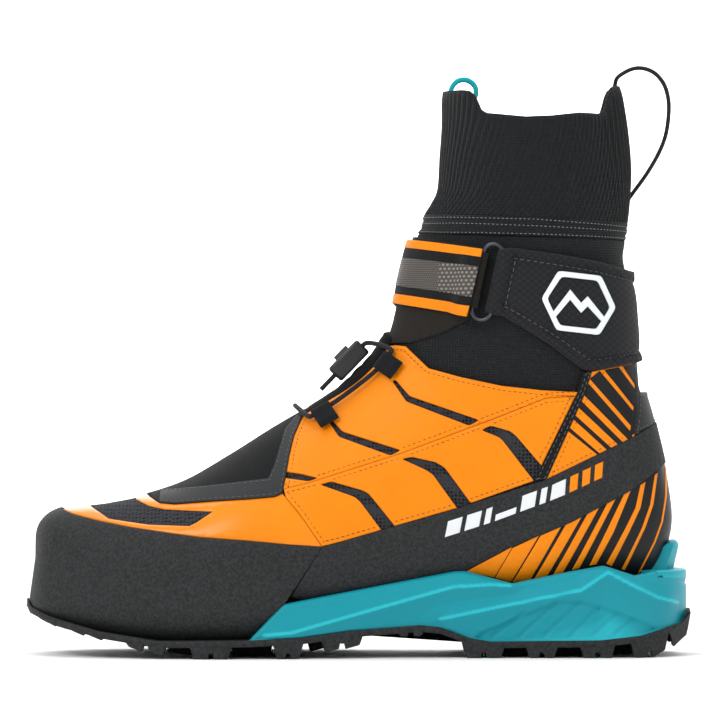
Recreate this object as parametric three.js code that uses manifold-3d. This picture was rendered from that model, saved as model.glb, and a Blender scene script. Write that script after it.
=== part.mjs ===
// Alpine touring boot for the left foot: a knitted sock boot inside a stitched and rubber-wrapped
// upper, on a foam midsole with a heel ledge for a crampon and a lugged rubber outsole.
// Millimetres. +Z is up, the toe points along -X and the outer side of the foot faces -Y.
// The origin is at the middle of the boot's box, on the ground.

import * as THREE from "three";
import { mergeVertices } from "three/addons/utils/BufferGeometryUtils.js";
import Module from "manifold-3d";

const wasm = await Module();
wasm.setup();

// ---------------------------------------------------------------- driving dimensions

const BOOT_LENGTH = 304; // outsole, toe to heel
const BOOT_WIDTH = 106; // outsole, across the ball of the foot
const CUFF_HEIGHT = 260; // ground to the back tab of the knitted cuff

const SOCK_WALL = 1.5;
const TEXTILE_WALL = 1.0; // black mesh that shows in the slots of the orange panels
const OVERLAY_WALL = 1.1; // coated microfibre panels
const RUBBER_WALL = 2.0; // rand round the toe
const BAND_WALL = 1.6; // diagonal band round the heel
const BORDER_WALL = 0.8; // welded tape on the edge of the instep cover
const COLLAR_WALL = 5.5; // padded ankle collar
const STRAP_WALL = 1.2;
const BOARD_WALL = 1.6; // lasting board
const PLATE_WALL = 1.0; // carbon plate under the board
const FOOTBED_WALL = 3.5;
const OUTSOLE_BASE = 3.0; // rubber between the lugs
const PRINT_WALL = 0.4;

const RING_WIRE = 1.0; // radius
const RING_LENGTH = 37;
const RING_WIDTH = 11;
const RING_PLAY = 0.7; // air round the ring's bars in the folds that hold it
const LACE_RADIUS = 1.1;
const LACE_PLAY = 0.4; // air round the lace in the lock and the loops
const LOOP_WEB = 1.0; // webbing of the lace loops
const LOOP_WIDTH = 9.5;
const HEEL_CORD_WIDTH = 3.4;
const HEEL_CORD_THICKNESS = 1.6;
const PULL_TAPE_WIDTH = 9;
const PULL_TAPE_THICKNESS = 1;

const LOCK_LENGTH = 19;
const LOCK_WIDTH = 14;
const LOCK_HEIGHT = 8.5;
const BUTTON_LENGTH = 8;
const BUTTON_WIDTH = 5;
const BUTTON_TRAVEL = 2;
const BUTTON_PROUD = 2.6;
const LOCK_TRAVEL = 6; // of the lock along the lace, towards the toe
const SPRING_LEAF = 0.5; // thickness of the leaf spring under the button
const SPRING_WIDTH = 3.4;

const THROAT = 9; // half the gap between the two quarters over the instep
const GAP = 0.3; // between touching pieces

// The outlines below are drawn for a boot of these sizes and scale to the driving dimensions.
const DRAWN = { length: 304, width: 106, height: 260 };
const SX = BOOT_LENGTH / DRAWN.length;
const SY = BOOT_WIDTH / DRAWN.width;
const SZ = CUFF_HEIGHT / DRAWN.height;

// ---------------------------------------------------------------- layers, from the sock outwards

const SOCK = [-SOCK_WALL, 0];
const FOOTBED_OUT = -SOCK_WALL - GAP;
const TEXTILE = [GAP, GAP + TEXTILE_WALL];
const BOARD = [GAP, GAP + BOARD_WALL];
const PLATE = [BOARD[1] + GAP, BOARD[1] + GAP + PLATE_WALL];
const OVERLAY = [TEXTILE[1] + GAP, TEXTILE[1] + GAP + OVERLAY_WALL];
const RAND = [TEXTILE[1] + GAP, TEXTILE[1] + GAP + RUBBER_WALL];
const BAND = [TEXTILE[1] + GAP, TEXTILE[1] + GAP + BAND_WALL];
const BORDER = [OVERLAY[1] + GAP, OVERLAY[1] + GAP + BORDER_WALL];
const TONGUE = [GAP, OVERLAY[1]];
const COLLAR = [GAP, GAP + COLLAR_WALL];
const STRAP = [GAP, GAP + STRAP_WALL];
const TAB = [STRAP[1] + 2 * GAP, STRAP[1] + 2 * GAP + STRAP_WALL];
const SOLE_CLEARANCE = RAND[1] + GAP; // outside of all that the midsole wraps

// ---------------------------------------------------------------- skin of the foot and leg

// One row for each cross-section, from the toe tip, round the heel, to the top of the cuff:
// top [x, z], bottom [x, z], bottom of the rubber envelope [x, z], share of the height at the
// widest point, half-width outside and inside, sideways shift, and the roundness of the upper
// half, the lower half and the envelope's lower half, where 2 is an ellipse and more is boxier.
const STATIONS = [
  [-144.5, 54, -144.5, 34, -147.5, 23, 0.5, 0, 0, 7, 2.4, 2.6, 4],
  [-143, 58.5, -143.5, 31, -146, 21, 0.46, 13.5, 13, 7, 2.4, 2.8, 4],
  [-138.5, 62.5, -139.5, 28.5, -141.5, 18, 0.43, 24, 23, 6.5, 2.5, 3, 4.5],
  [-130, 65, -131, 26, -132, 15, 0.4, 32, 31, 6, 2.6, 3.2, 5],
  [-115, 67, -116, 22.5, -116, 11.5, 0.38, 40, 38, 4.5, 2.5, 3.2, 5],
  [-98, 70.5, -98, 20, -98, 8.8, 0.36, 45, 43, 3, 2.3, 3.2, 5],
  [-78, 77, -76, 18.5, -76, 8, 0.34, 48, 46, 1.5, 2.1, 3.2, 5],
  [-57, 89, -50, 18.5, -50, 8.5, 0.32, 48.5, 45.5, 0.5, 1.95, 3.1, 5],
  [-38, 101, -22, 20, -22, 12, 0.31, 45.5, 41, 0, 1.85, 2.9, 4],
  [-18, 113, 8, 23, 8, 19, 0.31, 41.5, 36.5, -0.5, 1.8, 2.7, 3.2],
  [-1, 124.5, 40, 26, 40, 26, 0.33, 38.5, 34.5, 0, 1.85, 2.6, 2.6],
  [10.5, 136, 75, 28, 75, 28, 0.35, 36.5, 34.5, 0, 1.95, 2.6, 2.6],
  [15.5, 146, 106, 28.5, 106, 28.5, 0.38, 35, 34.5, 0, 2, 2.6, 2.6],
  [18.5, 157, 131, 35, 131, 35, 0.42, 35, 35, 0, 2.1, 2.5, 2.5],
  [20.5, 168, 141, 57, 141, 57, 0.46, 35.5, 35.5, 0, 2.1, 2.4, 2.4],
  [22.5, 177, 139.5, 80, 139.5, 80, 0.48, 36.5, 36.5, 0, 2.1, 2.3, 2.3],
  [24.5, 185, 134, 105, 134, 105, 0.5, 37, 37, 0, 2.1, 2.2, 2.2],
  [27, 191, 127.5, 128, 127.5, 128, 0.5, 37, 37, 0, 2.1, 2.15, 2.15],
  [30, 195.5, 123.5, 150, 123.5, 150, 0.5, 37, 37, 0, 2.1, 2.1, 2.1],
  [31, 201, 122.5, 172, 122.5, 172, 0.5, 37, 37, 0, 2.1, 2.1, 2.1],
  [34, 206, 122, 188, 122, 188, 0.5, 36.5, 36.5, 0, 2.1, 2.1, 2.1],
  [37, 213, 124, 203, 124, 203, 0.5, 36, 36, 0, 2.1, 2.1, 2.1],
  [38, 228, 125, 221, 125, 221, 0.5, 36.5, 36.5, 0, 2.1, 2.1, 2.1],
  [39, 244, 123.5, 240, 123.5, 240, 0.5, 37, 37, 0, 2.1, 2.1, 2.1],
  [38.5, 264, 119.5, 265, 119.5, 265, 0.5, 37, 37, 0, 2.1, 2.1, 2.1],
];
const LAST_STATION = STATIONS.length - 1;
const COLUMNS = 18; // facets round a cross-section

function row(s) {
  const i = Math.min(Math.floor(s), LAST_STATION - 1);
  const t = s - i;
  const before = STATIONS[Math.max(i - 1, 0)];
  const after = STATIONS[Math.min(i + 2, LAST_STATION)];
  return STATIONS[i].map((a, k) => {
    const b = STATIONS[i + 1][k];
    const slopeA = (b - before[k]) / 2;
    const slopeB = (after[k] - a) / 2;
    const t2 = t * t;
    const t3 = t2 * t;
    return (2 * t3 - 3 * t2 + 1) * a + (t3 - 2 * t2 + t) * slopeA + (3 * t2 - 2 * t3) * b + (t3 - t2) * slopeB;
  });
}

// A point of the skin at station s. u runs from 0 at the top or front, over the outer side at
// 0.25 and the bottom or back at 0.5, to the inner side at 0.75.
function skinPoint(s, u, envelope = false) {
  const [topX, topZ, botX, botZ, lowX, lowZ, waist, outer, inner, shift, crown, base, lowBase] = row(s);
  const along = Math.cos(2 * Math.PI * u);
  const across = Math.sin(2 * Math.PI * u);
  const middleX = botX + (topX - botX) * waist;
  const middleZ = botZ + (topZ - botZ) * waist;
  const upper = along >= 0;
  const endX = upper ? topX : envelope ? lowX : botX;
  const endZ = upper ? topZ : envelope ? lowZ : botZ;
  const power = 2 / (upper ? crown : envelope ? lowBase : base);
  const reach = Math.abs(along) ** power;
  const half = across >= 0 ? outer : inner;
  return new THREE.Vector3(
    (middleX + (endX - middleX) * reach) * SX,
    (shift - Math.sign(across) * half * Math.abs(across) ** power) * SY,
    (middleZ + (endZ - middleZ) * reach) * SZ,
  );
}

function skinNormal(s, u, envelope = false) {
  const ds = 0.05;
  const du = 0.01;
  if (s < ds) return new THREE.Vector3(-1, 0, 0.7 * Math.cos(2 * Math.PI * u) ** 5).normalize();
  const high = Math.min(s + ds, LAST_STATION);
  const alongS = skinPoint(high, u, envelope).sub(skinPoint(s - ds, u, envelope));
  const alongU = skinPoint(s, u + du, envelope).sub(skinPoint(s, u - du, envelope));
  return alongU.cross(alongS).normalize();
}

function skinOffset(s, u, offset, envelope = false) {
  const p = skinPoint(s, u, envelope);
  const d = typeof offset === "function" ? offset(p) : offset;
  return p.addScaledVector(skinNormal(s, u, envelope), d);
}

// Station and side position of the point on the outer side that is drawn at [x, z].
function locate([x, z]) {
  let best = { s: 12, u: 0.25 };
  let nearest = Infinity;
  let reachS = 12;
  let reachU = 0.24;
  const steps = 12;
  for (let pass = 0; pass < 5; pass++) {
    const { s: s0, u: u0 } = best;
    for (let i = -steps; i <= steps; i++) {
      for (let j = -steps; j <= steps; j++) {
        const s = THREE.MathUtils.clamp(s0 + (reachS * i) / steps, 0, LAST_STATION);
        const u = THREE.MathUtils.clamp(u0 + (reachU * j) / steps, 0.005, 0.495);
        const p = skinPoint(s, u);
        const gap = Math.hypot(p.x - x * SX, p.z - z * SZ);
        if (gap < nearest) {
          nearest = gap;
          best = { s, u };
        }
      }
    }
    reachS /= 6;
    reachU /= 6;
  }
  return best;
}

// ---------------------------------------------------------------- solids

function solid(geometry) {
  const plain = geometry.clone();
  plain.deleteAttribute("normal");
  plain.deleteAttribute("uv");
  const merged = mergeVertices(plain, 1e-4);
  return new wasm.Manifold(
    new wasm.Mesh({
      numProp: 3,
      vertProperties: new Float32Array(merged.attributes.position.array),
      triVerts: new Uint32Array(merged.index.array),
    }),
  );
}

// The whole foot and leg as one closed solid, grown outwards by the offset.
function lastSolid(offset, envelope = false) {
  const positions = [];
  const rings = STATIONS.length;
  for (let s = 0; s < rings; s++) {
    for (let j = 0; j < COLUMNS; j++) {
      positions.push(...skinOffset(s, j / COLUMNS, offset, envelope).toArray());
    }
  }
  const top = skinPoint(LAST_STATION, 0).add(skinPoint(LAST_STATION, 0.5)).multiplyScalar(0.5);
  positions.push(...top.toArray());
  const index = [];
  for (let i = 0; i < rings - 1; i++) {
    for (let j = 0; j < COLUMNS; j++) {
      const a = i * COLUMNS + j;
      const b = i * COLUMNS + ((j + 1) % COLUMNS);
      const c = b + COLUMNS;
      const d = a + COLUMNS;
      index.push(a, b, c, a, c, d);
    }
  }
  const rim = (rings - 1) * COLUMNS;
  for (let j = 0; j < COLUMNS; j++) {
    index.push(rings * COLUMNS, rim + j, rim + ((j + 1) % COLUMNS));
  }
  const geometry = new THREE.BufferGeometry();
  geometry.setAttribute("position", new THREE.Float32BufferAttribute(positions, 3));
  geometry.setIndex(index);
  return solid(geometry);
}

// A patch of the skin between two stations and two side positions, as a curved sheet.
function patch([s0, s1], [u0, u1], [inside, outside], rows, columns) {
  const positions = [];
  for (const offset of [inside, outside]) {
    for (let i = 0; i <= rows; i++) {
      for (let j = 0; j <= columns; j++) {
        const s = s0 + ((s1 - s0) * i) / rows;
        const u = u0 + ((u1 - u0) * j) / columns;
        positions.push(...skinOffset(s, u, offset).toArray());
      }
    }
  }
  const layerSize = (rows + 1) * (columns + 1);
  const at = (i, j, side) => side * layerSize + i * (columns + 1) + j;
  const index = [];
  const quad = (a, b, c, d) => index.push(a, b, c, a, c, d);
  for (let i = 0; i < rows; i++) {
    for (let j = 0; j < columns; j++) {
      quad(at(i, j, 1), at(i, j + 1, 1), at(i + 1, j + 1, 1), at(i + 1, j, 1));
      quad(at(i, j, 0), at(i + 1, j, 0), at(i + 1, j + 1, 0), at(i, j + 1, 0));
    }
    quad(at(i, 0, 0), at(i, 0, 1), at(i + 1, 0, 1), at(i + 1, 0, 0));
    quad(at(i, columns, 1), at(i, columns, 0), at(i + 1, columns, 0), at(i + 1, columns, 1));
  }
  for (let j = 0; j < columns; j++) {
    quad(at(0, j, 1), at(0, j, 0), at(0, j + 1, 0), at(0, j + 1, 1));
    quad(at(rows, j, 0), at(rows, j, 1), at(rows, j + 1, 1), at(rows, j + 1, 0));
  }
  const geometry = new THREE.BufferGeometry();
  geometry.setAttribute("position", new THREE.Float32BufferAttribute(positions, 3));
  geometry.setIndex(index);
  return solid(geometry);
}

const made = new Map();
function last(offset, envelope = false) {
  const key = `${offset}${envelope}`;
  if (!made.has(key)) made.set(key, lastSolid(offset, envelope));
  return made.get(key);
}

const layer = ([inside, outside], envelope = false) =>
  last(outside, envelope).subtract(last(inside, envelope));

// Points of a side view or plan outline, rounded through by a curve with n steps.
function smooth(points, n = points.length * 2, closed = false) {
  const curve = new THREE.SplineCurve(points.map(([a, b]) => new THREE.Vector2(a, b)));
  if (!closed) return curve.getPoints(n).map((p) => [p.x, p.y]);
  const loop = new THREE.CatmullRomCurve3(
    points.map(([a, b]) => new THREE.Vector3(a, b, 0)),
    true,
  );
  return loop.getPoints(n).slice(0, -1).map((p) => [p.x, p.y]);
}

const reversed = (points) => [...points].reverse();

function signedArea(points) {
  return points.reduce((sum, [x, y], i) => {
    const [nextX, nextY] = points[(i + 1) % points.length];
    return sum + (x * nextY - nextX * y) / 2;
  }, 0);
}

// The outline moved inwards by d all round.
function inset(outline, d) {
  const points = outline.filter((p, i) => {
    const next = outline[(i + 1) % outline.length];
    return Math.hypot(next[0] - p[0], next[1] - p[1]) > 0.05;
  });
  const turn = Math.sign(signedArea(points));
  const normal = ([ax, ay], [bx, by]) => {
    const length = Math.hypot(bx - ax, by - ay) || 1;
    return [(-turn * (by - ay)) / length, (turn * (bx - ax)) / length];
  };
  return points.map((p, i) => {
    const before = normal(points[(i + points.length - 1) % points.length], p);
    const after = normal(p, points[(i + 1) % points.length]);
    const spread = Math.max(1 + before[0] * after[0] + before[1] * after[1], 0.5);
    return [p[0] + ((before[0] + after[0]) * d) / spread, p[1] + ((before[1] + after[1]) * d) / spread];
  });
}

const drawnSide = (points) => points.map(([x, z]) => [x * SX, z * SZ]);
const drawnPlan = (points) => points.map(([x, y]) => [x * SX, y * SY]);
function shapeOf(points) {
  const turned = signedArea(points) < 0 ? reversed(points) : points;
  return new THREE.Shape(turned.map(([a, b]) => new THREE.Vector2(a, b)));
}
const FAR = 400;

// A side-view outline swept sideways from y0 to y1.
function sideBlock(points, [y0, y1] = [-FAR, FAR], shrink = GAP / 2) {
  const geometry = new THREE.ExtrudeGeometry(shapeOf(inset(drawnSide(points), shrink)), {
    depth: y1 - y0,
    bevelEnabled: false,
  });
  geometry.rotateX(Math.PI / 2).translate(0, y1, 0);
  return solid(geometry);
}

// A plan outline swept upwards.
function planBlock(points, shrink = 0) {
  const geometry = new THREE.ExtrudeGeometry(shapeOf(inset(drawnPlan(points), shrink)), {
    depth: FAR,
    bevelEnabled: false,
  });
  geometry.translate(0, 0, -GAP);
  return solid(geometry);
}

const BOTH = [-FAR, FAR];
const OUTER = (inner = GAP) => [-FAR, -inner];
const INNER = (inner = GAP) => [inner, FAR];

// A panel of the upper: the part of a layer inside a side-view outline.
function panel(levels, outline, span = BOTH, { slots = [], envelope = false } = {}) {
  let piece = layer(levels, envelope).intersect(sideBlock(outline, span));
  for (const slot of slots) piece = piece.subtract(sideBlock(slot, span, 0));
  return piece;
}

const boot = new THREE.Group();

function add(name, piece, material) {
  const mesh = piece.getMesh();
  const geometry = new THREE.BufferGeometry();
  geometry.setAttribute("position", new THREE.BufferAttribute(mesh.vertProperties, mesh.numProp));
  geometry.setIndex(new THREE.BufferAttribute(mesh.triVerts, 1));
  geometry.computeVertexNormals();
  const node = new THREE.Mesh(geometry, material);
  node.name = name;
  boot.add(node);
  return node;
}

// ---------------------------------------------------------------- materials

const finish = (color, roughness, metalness = 0) =>
  new THREE.MeshStandardMaterial({ color, roughness, metalness });
const KNIT = finish("#1d1e20", 0.95);
const MESH_CLOTH = finish("#26272a", 0.9);
const ORANGE = finish("#f79a0e", 0.5);
const BLACK_RUBBER = finish("#2a2b2d", 0.8);
const BLACK_CLOTH = finish("#232426", 0.9);
const GREY_FILM = finish("#4a4b4d", 0.6);
const GREY_STRETCH = finish("#3d3a38", 0.9);
const TURQUOISE = finish("#1bb3bf", 0.55);
const REFLECTIVE = finish("#8b8079", 0.4);
const STEEL = finish("#3a3c3f", 0.3, 0.9);
const BLACK_PLASTIC = finish("#17181a", 0.45);
const SPRING_STEEL = finish("#9b9da0", 0.3, 1);
const CARBON = finish("#1a1a1c", 0.4);
const BOARD_GREY = finish("#6b6459", 0.9);
const FOOTBED_GREY = finish("#55575b", 0.95);
const FOAM = finish("#3f4144", 0.9);
const PRINT_WHITE = finish("#e4e7ea", 0.5);

// ---------------------------------------------------------------- side-view lines, [x, z]

const RAND_TOP = [[-137.5, 67.5], [-130, 65], [-103.5, 59.5], [-71.5, 55], [-30.5, 51.5], [-16, 50.5]];
const BAND_TOP = [[-16, 50.5], [-8, 52.5], [44.5, 67.5], [85, 80.5], [125.5, 100], [136.5, 106]];
const BAND_BOTTOM = [[48, 39], [69.5, 50], [96.5, 61], [124, 75.5], [141.5, 88.5]];
const RAND_END = [[-16, 50.5], [-33, 24.5], [-48.5, 8.5]];
const FEATHER = [
  [-149, 40], [-139, 33.5], [-116, 27.5], [-76, 23.5], [-22, 25],
  [40, 31], [75, 33], [106, 33.5], [131, 37], [149, 46],
];
const MIDSOLE_TOP = [
  [-48.5, 8.5], [-33, 24.5], [-3.5, 30], [44.5, 39], [49, 39], [70, 33.5],
  [96.5, 39], [111.5, 41.5], [126, 37], [135.5, 39],
];
const MIDSOLE_BOTTOM = [
  [-48.5, 8.5], [-26, 9.5], [-3.5, 12.5], [28.5, 15], [37.5, 14], [51, 9],
  [60, 7.5], [110, 8], [128.5, 10], [148, 15.5], [150, 19],
];
const OUTSOLE_TOP = [
  [-152, 25.5], [-150, 22], [-140, 18], [-117, 12], [-90, 8],
  ...MIDSOLE_BOTTOM, [152, 21],
];
const GROUND = [
  [152.5, 12], [149, 7.5], [140, 3], [132, 0], [49, 0], [44, 3], [30.5, 10], [19.5, 10],
  [-1, 5.5], [-20, 2], [-27, 0], [-76, 0], [-90, 2], [-117, 8.5], [-140, 14.5], [-149, 18.5], [-152, 22],
];
const SEAM = [[98.8, 118.5], [85, 117.5], [65, 109.5], [19.5, 92.5], [-21.5, 79.5], [-33.6, 76.5]];
const QUARTER_TOP = [
  [12, 141], [17, 141.5], [21.5, 141], [32, 131], [46.5, 127], [65, 123], [83, 121], [99.6, 120.2],
];
const STAY_FRONT = [[102.5, 129], [100, 121], [80, 80]];
const STAY_BACK = [[106, 129.5], [103, 120], [85.5, 81]];
const VAMP_SEAM = [[-34, 74.5], [-26, 65], [-16, 50.5]];
const COVER_BOTTOM = [
  [-97, 74], [-90, 70], [-83, 69.5], [-65, 71], [-49, 72], [-37.5, 73], [-34, 74.5],
];
const COVER_BACK = [[-34, 74.5], [-32.5, 82.5], [-31, 91.5], [-29, 100], [-26, 107], [-23, 112]];
const BORDER_INNER = [[-90, 75], [-71.5, 77], [-40.5, 81], [-38, 86.5], [-33, 103], [-28, 109]];
const KNIT_WINDOW = [
  [-122.5, 72], [-122.5, 68.5], [-117, 65.5], [-113, 63], [-94.5, 60.5], [-76, 60], [-73, 61.5],
  [-65.5, 66.5], [-87.5, 67.5], [-95, 69], [-102, 72],
];
const COLLAR_TOP = [[63.5, 185], [69.5, 185.5], [92, 182.5], [110, 179.5], [128.5, 175], [134, 174]];
const COLLAR_BOTTOM = [[56, 156], [65, 154.5], [74, 149.5], [87.5, 141.5], [102.5, 131], [106, 130]];
const STAY_TOP = [[106, 130], [119.5, 132], [134, 135]];
const STAY_REAR = [[127.5, 133.6], [128.3, 120], [127.5, 110], [126, 101]];
const RING_AXIS = [[55.5, 152], [63.5, 188]];

// ---------------------------------------------------------------- sock boot and cuff

const CUFF_SEAM_LOW = [[-10, 194], [30, 192.5], [123, 189.5], [150, 188.5]];
const CUFF_SEAM_HIGH = [[-10, 202.5], [30, 201], [123, 197.5], [150, 196.5]];
const CUFF_TOP = [
  [20, 257.5], [50, 257.5], [54, 254], [56, 247.5], [76, 245], [101, 247], [113, 246.5],
  [115, 256.5], [118, 260], [140, 260],
];

add(
  "ankle_sock",
  layer(SOCK).intersect(sideBlock([[-200, -20], [200, -20], [200, 187], ...reversed(CUFF_SEAM_LOW), [-200, 200]])),
  KNIT,
);
add("cuff_band", panel([-SOCK_WALL, GAP * 2], [...CUFF_SEAM_LOW, ...reversed(CUFF_SEAM_HIGH)]), KNIT);
add("knit_cuff", panel(SOCK, [...CUFF_SEAM_HIGH, ...reversed(CUFF_TOP)]), KNIT);

// ---------------------------------------------------------------- inside the shoe

const below = (line, drop, from, to) => [
  [from, -40],
  [to, -40],
  ...reversed(line.filter(([x]) => x > from && x < to).map(([x, z]) => [x, z - drop])),
];
const BOTTOM_STEP = 5; // the feather line runs this far above the sole of the foot

add(
  "footbed",
  last(FOOTBED_OUT).intersect(sideBlock(below(FEATHER, BOTTOM_STEP - SOCK_WALL - FOOTBED_WALL, -148, 148))),
  FOOTBED_GREY,
);
add("lasting_board", layer(BOARD).intersect(sideBlock(below(FEATHER, 0, -160, 160))), BOARD_GREY);
add(
  "carbon_plate",
  layer(PLATE)
    .intersect(sideBlock(below(FEATHER, BOTTOM_STEP, -120, 120)))
    .intersect(sideBlock([[-112, -40], [112, -40], [112, 60], [-112, 60]], [-26 * SY, 26 * SY])),
  CARBON,
);

// ---------------------------------------------------------------- upper panels

const QUARTER_SLOTS_HIGH = [
  [[15.5, 125.5], [17, 126], [23.5, 118.5], [55, 107.5], [50.5, 105], [22, 116]],
  [[-14, 108], [-12.5, 108.5], [-7, 102.5], [19.5, 94], [15, 91.5], [-8.5, 100]],
  [[-33.5, 84.5], [-26, 83.5], [-18, 81.5], [-22, 80], [-33.5, 81.5]],
];
const QUARTER_SLOTS_LOW = [
  [[56, 103], [60, 105], [69, 102.5], [71.5, 100.5], [84, 86], [80.5, 79], [65.5, 98.5], [63.5, 100]],
  [[20, 90], [24.5, 91], [35.5, 88.5], [39.5, 86], [52, 69], [45.5, 67], [34, 83], [31, 85]],
  [[-17, 78.5], [-12, 80], [2, 76], [5, 74.5], [17.5, 59], [11.5, 57], [1, 71], [-1.5, 73]],
];
const TEXTILE_OUTLINE = [
  ...FEATHER.filter(([x]) => x > -30 && x < 132),
  [150, 46], [150, 118], [127, 118], [104, 119], ...reversed(QUARTER_TOP), [-23, 112], ...reversed(COVER_BACK), [-30, 60],
];
const HIGH_QUARTER = [...reversed(QUARTER_TOP), ...reversed(COVER_BACK).slice(0, -1), ...reversed(SEAM)];
const LOW_QUARTER = [
  ...SEAM, ...VAMP_SEAM, ...BAND_TOP.filter(([x]) => x > -16 && x < 80), [80, 80],
];
const HEEL_SIDE = [...STAY_BACK, [85, 80.5], [125.5, 100], ...reversed(STAY_REAR), [119.5, 132]];
const STAY_STRIP = [...STAY_FRONT, [85, 80.5], ...reversed(STAY_BACK)];

add("mesh_shell", panel(TEXTILE, TEXTILE_OUTLINE).subtract(sideBlock(
  [[-40, 60], [40, 60], [40, 170], [-40, 170]], [-THROAT * SY, THROAT * SY],
)), MESH_CLOTH);

for (const [side, span] of [["outer", OUTER], ["inner", INNER]]) {
  const beside = span(THROAT * SY);
  add(`high_quarter_${side}`, panel(OVERLAY, HIGH_QUARTER, beside, { slots: QUARTER_SLOTS_HIGH }), ORANGE);
  add(`low_quarter_${side}`, panel(OVERLAY, LOW_QUARTER, span(), { slots: QUARTER_SLOTS_LOW }), ORANGE);
  add(`stay_strip_${side}`, panel(BAND, STAY_STRIP, span()), BLACK_CLOTH);
  add(`heel_side_${side}`, panel(OVERLAY, HEEL_SIDE, span()), ORANGE);
}

const HEEL_TAB = [[128.3, 120], [127.5, 110], [126, 101], [136.5, 106], [150, 108], [150, 121]];
const HEEL_BAND = [
  ...BAND_TOP, [150, 108], [150, 93], ...reversed(BAND_BOTTOM), [48, 31.5],
  ...reversed(FEATHER.filter(([x]) => x > -31 && x < 48)), [-31, 24.8],
];
const HEEL_WRAP = [
  ...BAND_BOTTOM, [150, 93], [150, 46], ...reversed(FEATHER.filter(([x]) => x > 48 && x < 140)), [48, 31.7],
];
const TOE_CAP = [
  ...RAND_TOP, ...reversed(VAMP_SEAM), ...reversed(COVER_BOTTOM), [-97, 84], [-150, 84], [-150, 67.5],
];
const TOE_RAND = [
  ...RAND_TOP, ...RAND_END, ...reversed(OUTSOLE_TOP.filter(([x]) => x < -60)), [-170, 28], [-170, 67.5],
];

add("heel_tab", panel(OVERLAY, HEEL_TAB), GREY_FILM);
add("heel_band", panel(BAND, HEEL_BAND), BLACK_RUBBER);
add("heel_wrap", panel(OVERLAY, HEEL_WRAP), ORANGE);
add("toe_rand", panel(RAND, TOE_RAND, BOTH, { envelope: true }), BLACK_RUBBER);
add("toe_cap", panel(OVERLAY, TOE_CAP).subtract(sideBlock(KNIT_WINDOW, BOTH, -GAP / 2)), ORANGE);
add("toe_knit", panel(OVERLAY, KNIT_WINDOW), MESH_CLOTH);

// ---------------------------------------------------------------- instep: cover, tongue

const COVER = [...COVER_BOTTOM, ...COVER_BACK, [-23, 125], [-97, 100]];
const COVER_BORDER = [
  ...COVER_BOTTOM.slice(1), ...COVER_BACK.slice(0, -1), [-23.5, 111.5], ...reversed(BORDER_INNER),
];

add("instep_cover", panel(OVERLAY, COVER), BLACK_CLOTH);
for (const [side, span] of [["outer", OUTER], ["inner", INNER]]) {
  add(`cover_border_${side}`, panel(BORDER, COVER_BORDER, span(THROAT * SY)), GREY_FILM);
}
add(
  "tongue",
  layer(TONGUE)
    .intersect(sideBlock([[-22.7, 90], [30, 90], [11.5, 141], [0, 160], [-22.7, 160]]))
    .intersect(sideBlock([[-40, 60], [40, 60], [40, 170], [-40, 170]], [-(THROAT - 1) * SY, (THROAT - 1) * SY])),
  BLACK_CLOTH,
);

// ---------------------------------------------------------------- ring, collar and strap

// A frame at the middle of the ring: along the ring's bars, across it towards the heel, and out.
function ringFrame() {
  const [low, high] = RING_AXIS;
  const middle = [(low[0] + high[0]) / 2, (low[1] + high[1]) / 2];
  const { s, u } = locate(middle);
  const out = skinNormal(s, u);
  const axis = new THREE.Vector3((high[0] - low[0]) * SX, 0, (high[1] - low[1]) * SZ);
  axis.addScaledVector(out, -axis.dot(out)).normalize();
  const across = new THREE.Vector3().crossVectors(out, axis).negate();
  if (across.x < 0) across.negate();
  return { centre: skinPoint(s, u), axis, across, out };
}
const RING = ringFrame();
const FOLD_INNER = RING_WIRE + RING_PLAY;
const FOLD_OUTER = FOLD_INNER + STRAP_WALL;
const RING_LEVEL = STRAP[0] + FOLD_OUTER; // height of the wire's centre above the sock
const BAR = (RING_WIDTH - 2 * RING_WIRE) / 2; // from the ring's middle to each bar
const STRAP_END = RING_LENGTH / 2 - RING_WIDTH / 2 - GAP; // half-length of the fold on the bar

const ringPlace = new THREE.Matrix4().makeBasis(RING.across, RING.axis, RING.across.clone().cross(RING.axis));
const ringOutward = Math.sign(new THREE.Vector3().setFromMatrixColumn(ringPlace, 2).dot(RING.out));
ringPlace.setPosition(RING.centre.clone().addScaledVector(RING.out, RING_LEVEL));

// The room that the ring's rounded ends need, past the folds on its bars.
function ringEnds() {
  const [length, width] = [RING_LENGTH + 2 * RING_PLAY, RING_WIDTH + 2 * RING_PLAY];
  const slab = new THREE.ExtrudeGeometry(shapeOf(stadium(length, width, 6)), { depth: 2 * FOLD_INNER, bevelEnabled: false });
  slab.translate(0, 0, -FOLD_INNER).applyMatrix4(ringPlace);
  const middle = new THREE.BoxGeometry(RING_WIDTH * 2, STRAP_END * 2, FOLD_INNER * 4).applyMatrix4(ringPlace);
  return solid(slab).subtract(solid(middle));
}

// A rod along the ring's bars, at a distance across the ring from its middle.
function barRod(offset, radius, halfLength, sides = 12) {
  const rod = new THREE.CylinderGeometry(radius, radius, 2 * halfLength, sides);
  rod.translate(offset, 0, 0).applyMatrix4(ringPlace);
  return solid(rod);
}

function stadium(length, width, steps = 6) {
  const radius = width / 2;
  const straight = length / 2 - radius;
  const shape = new THREE.Shape();
  shape.absarc(0, straight, radius, 0, Math.PI, false);
  shape.absarc(0, -straight, radius, Math.PI, 2 * Math.PI, false);
  return shape.getPoints(steps).map((p) => [p.x, p.y]);
}

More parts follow.
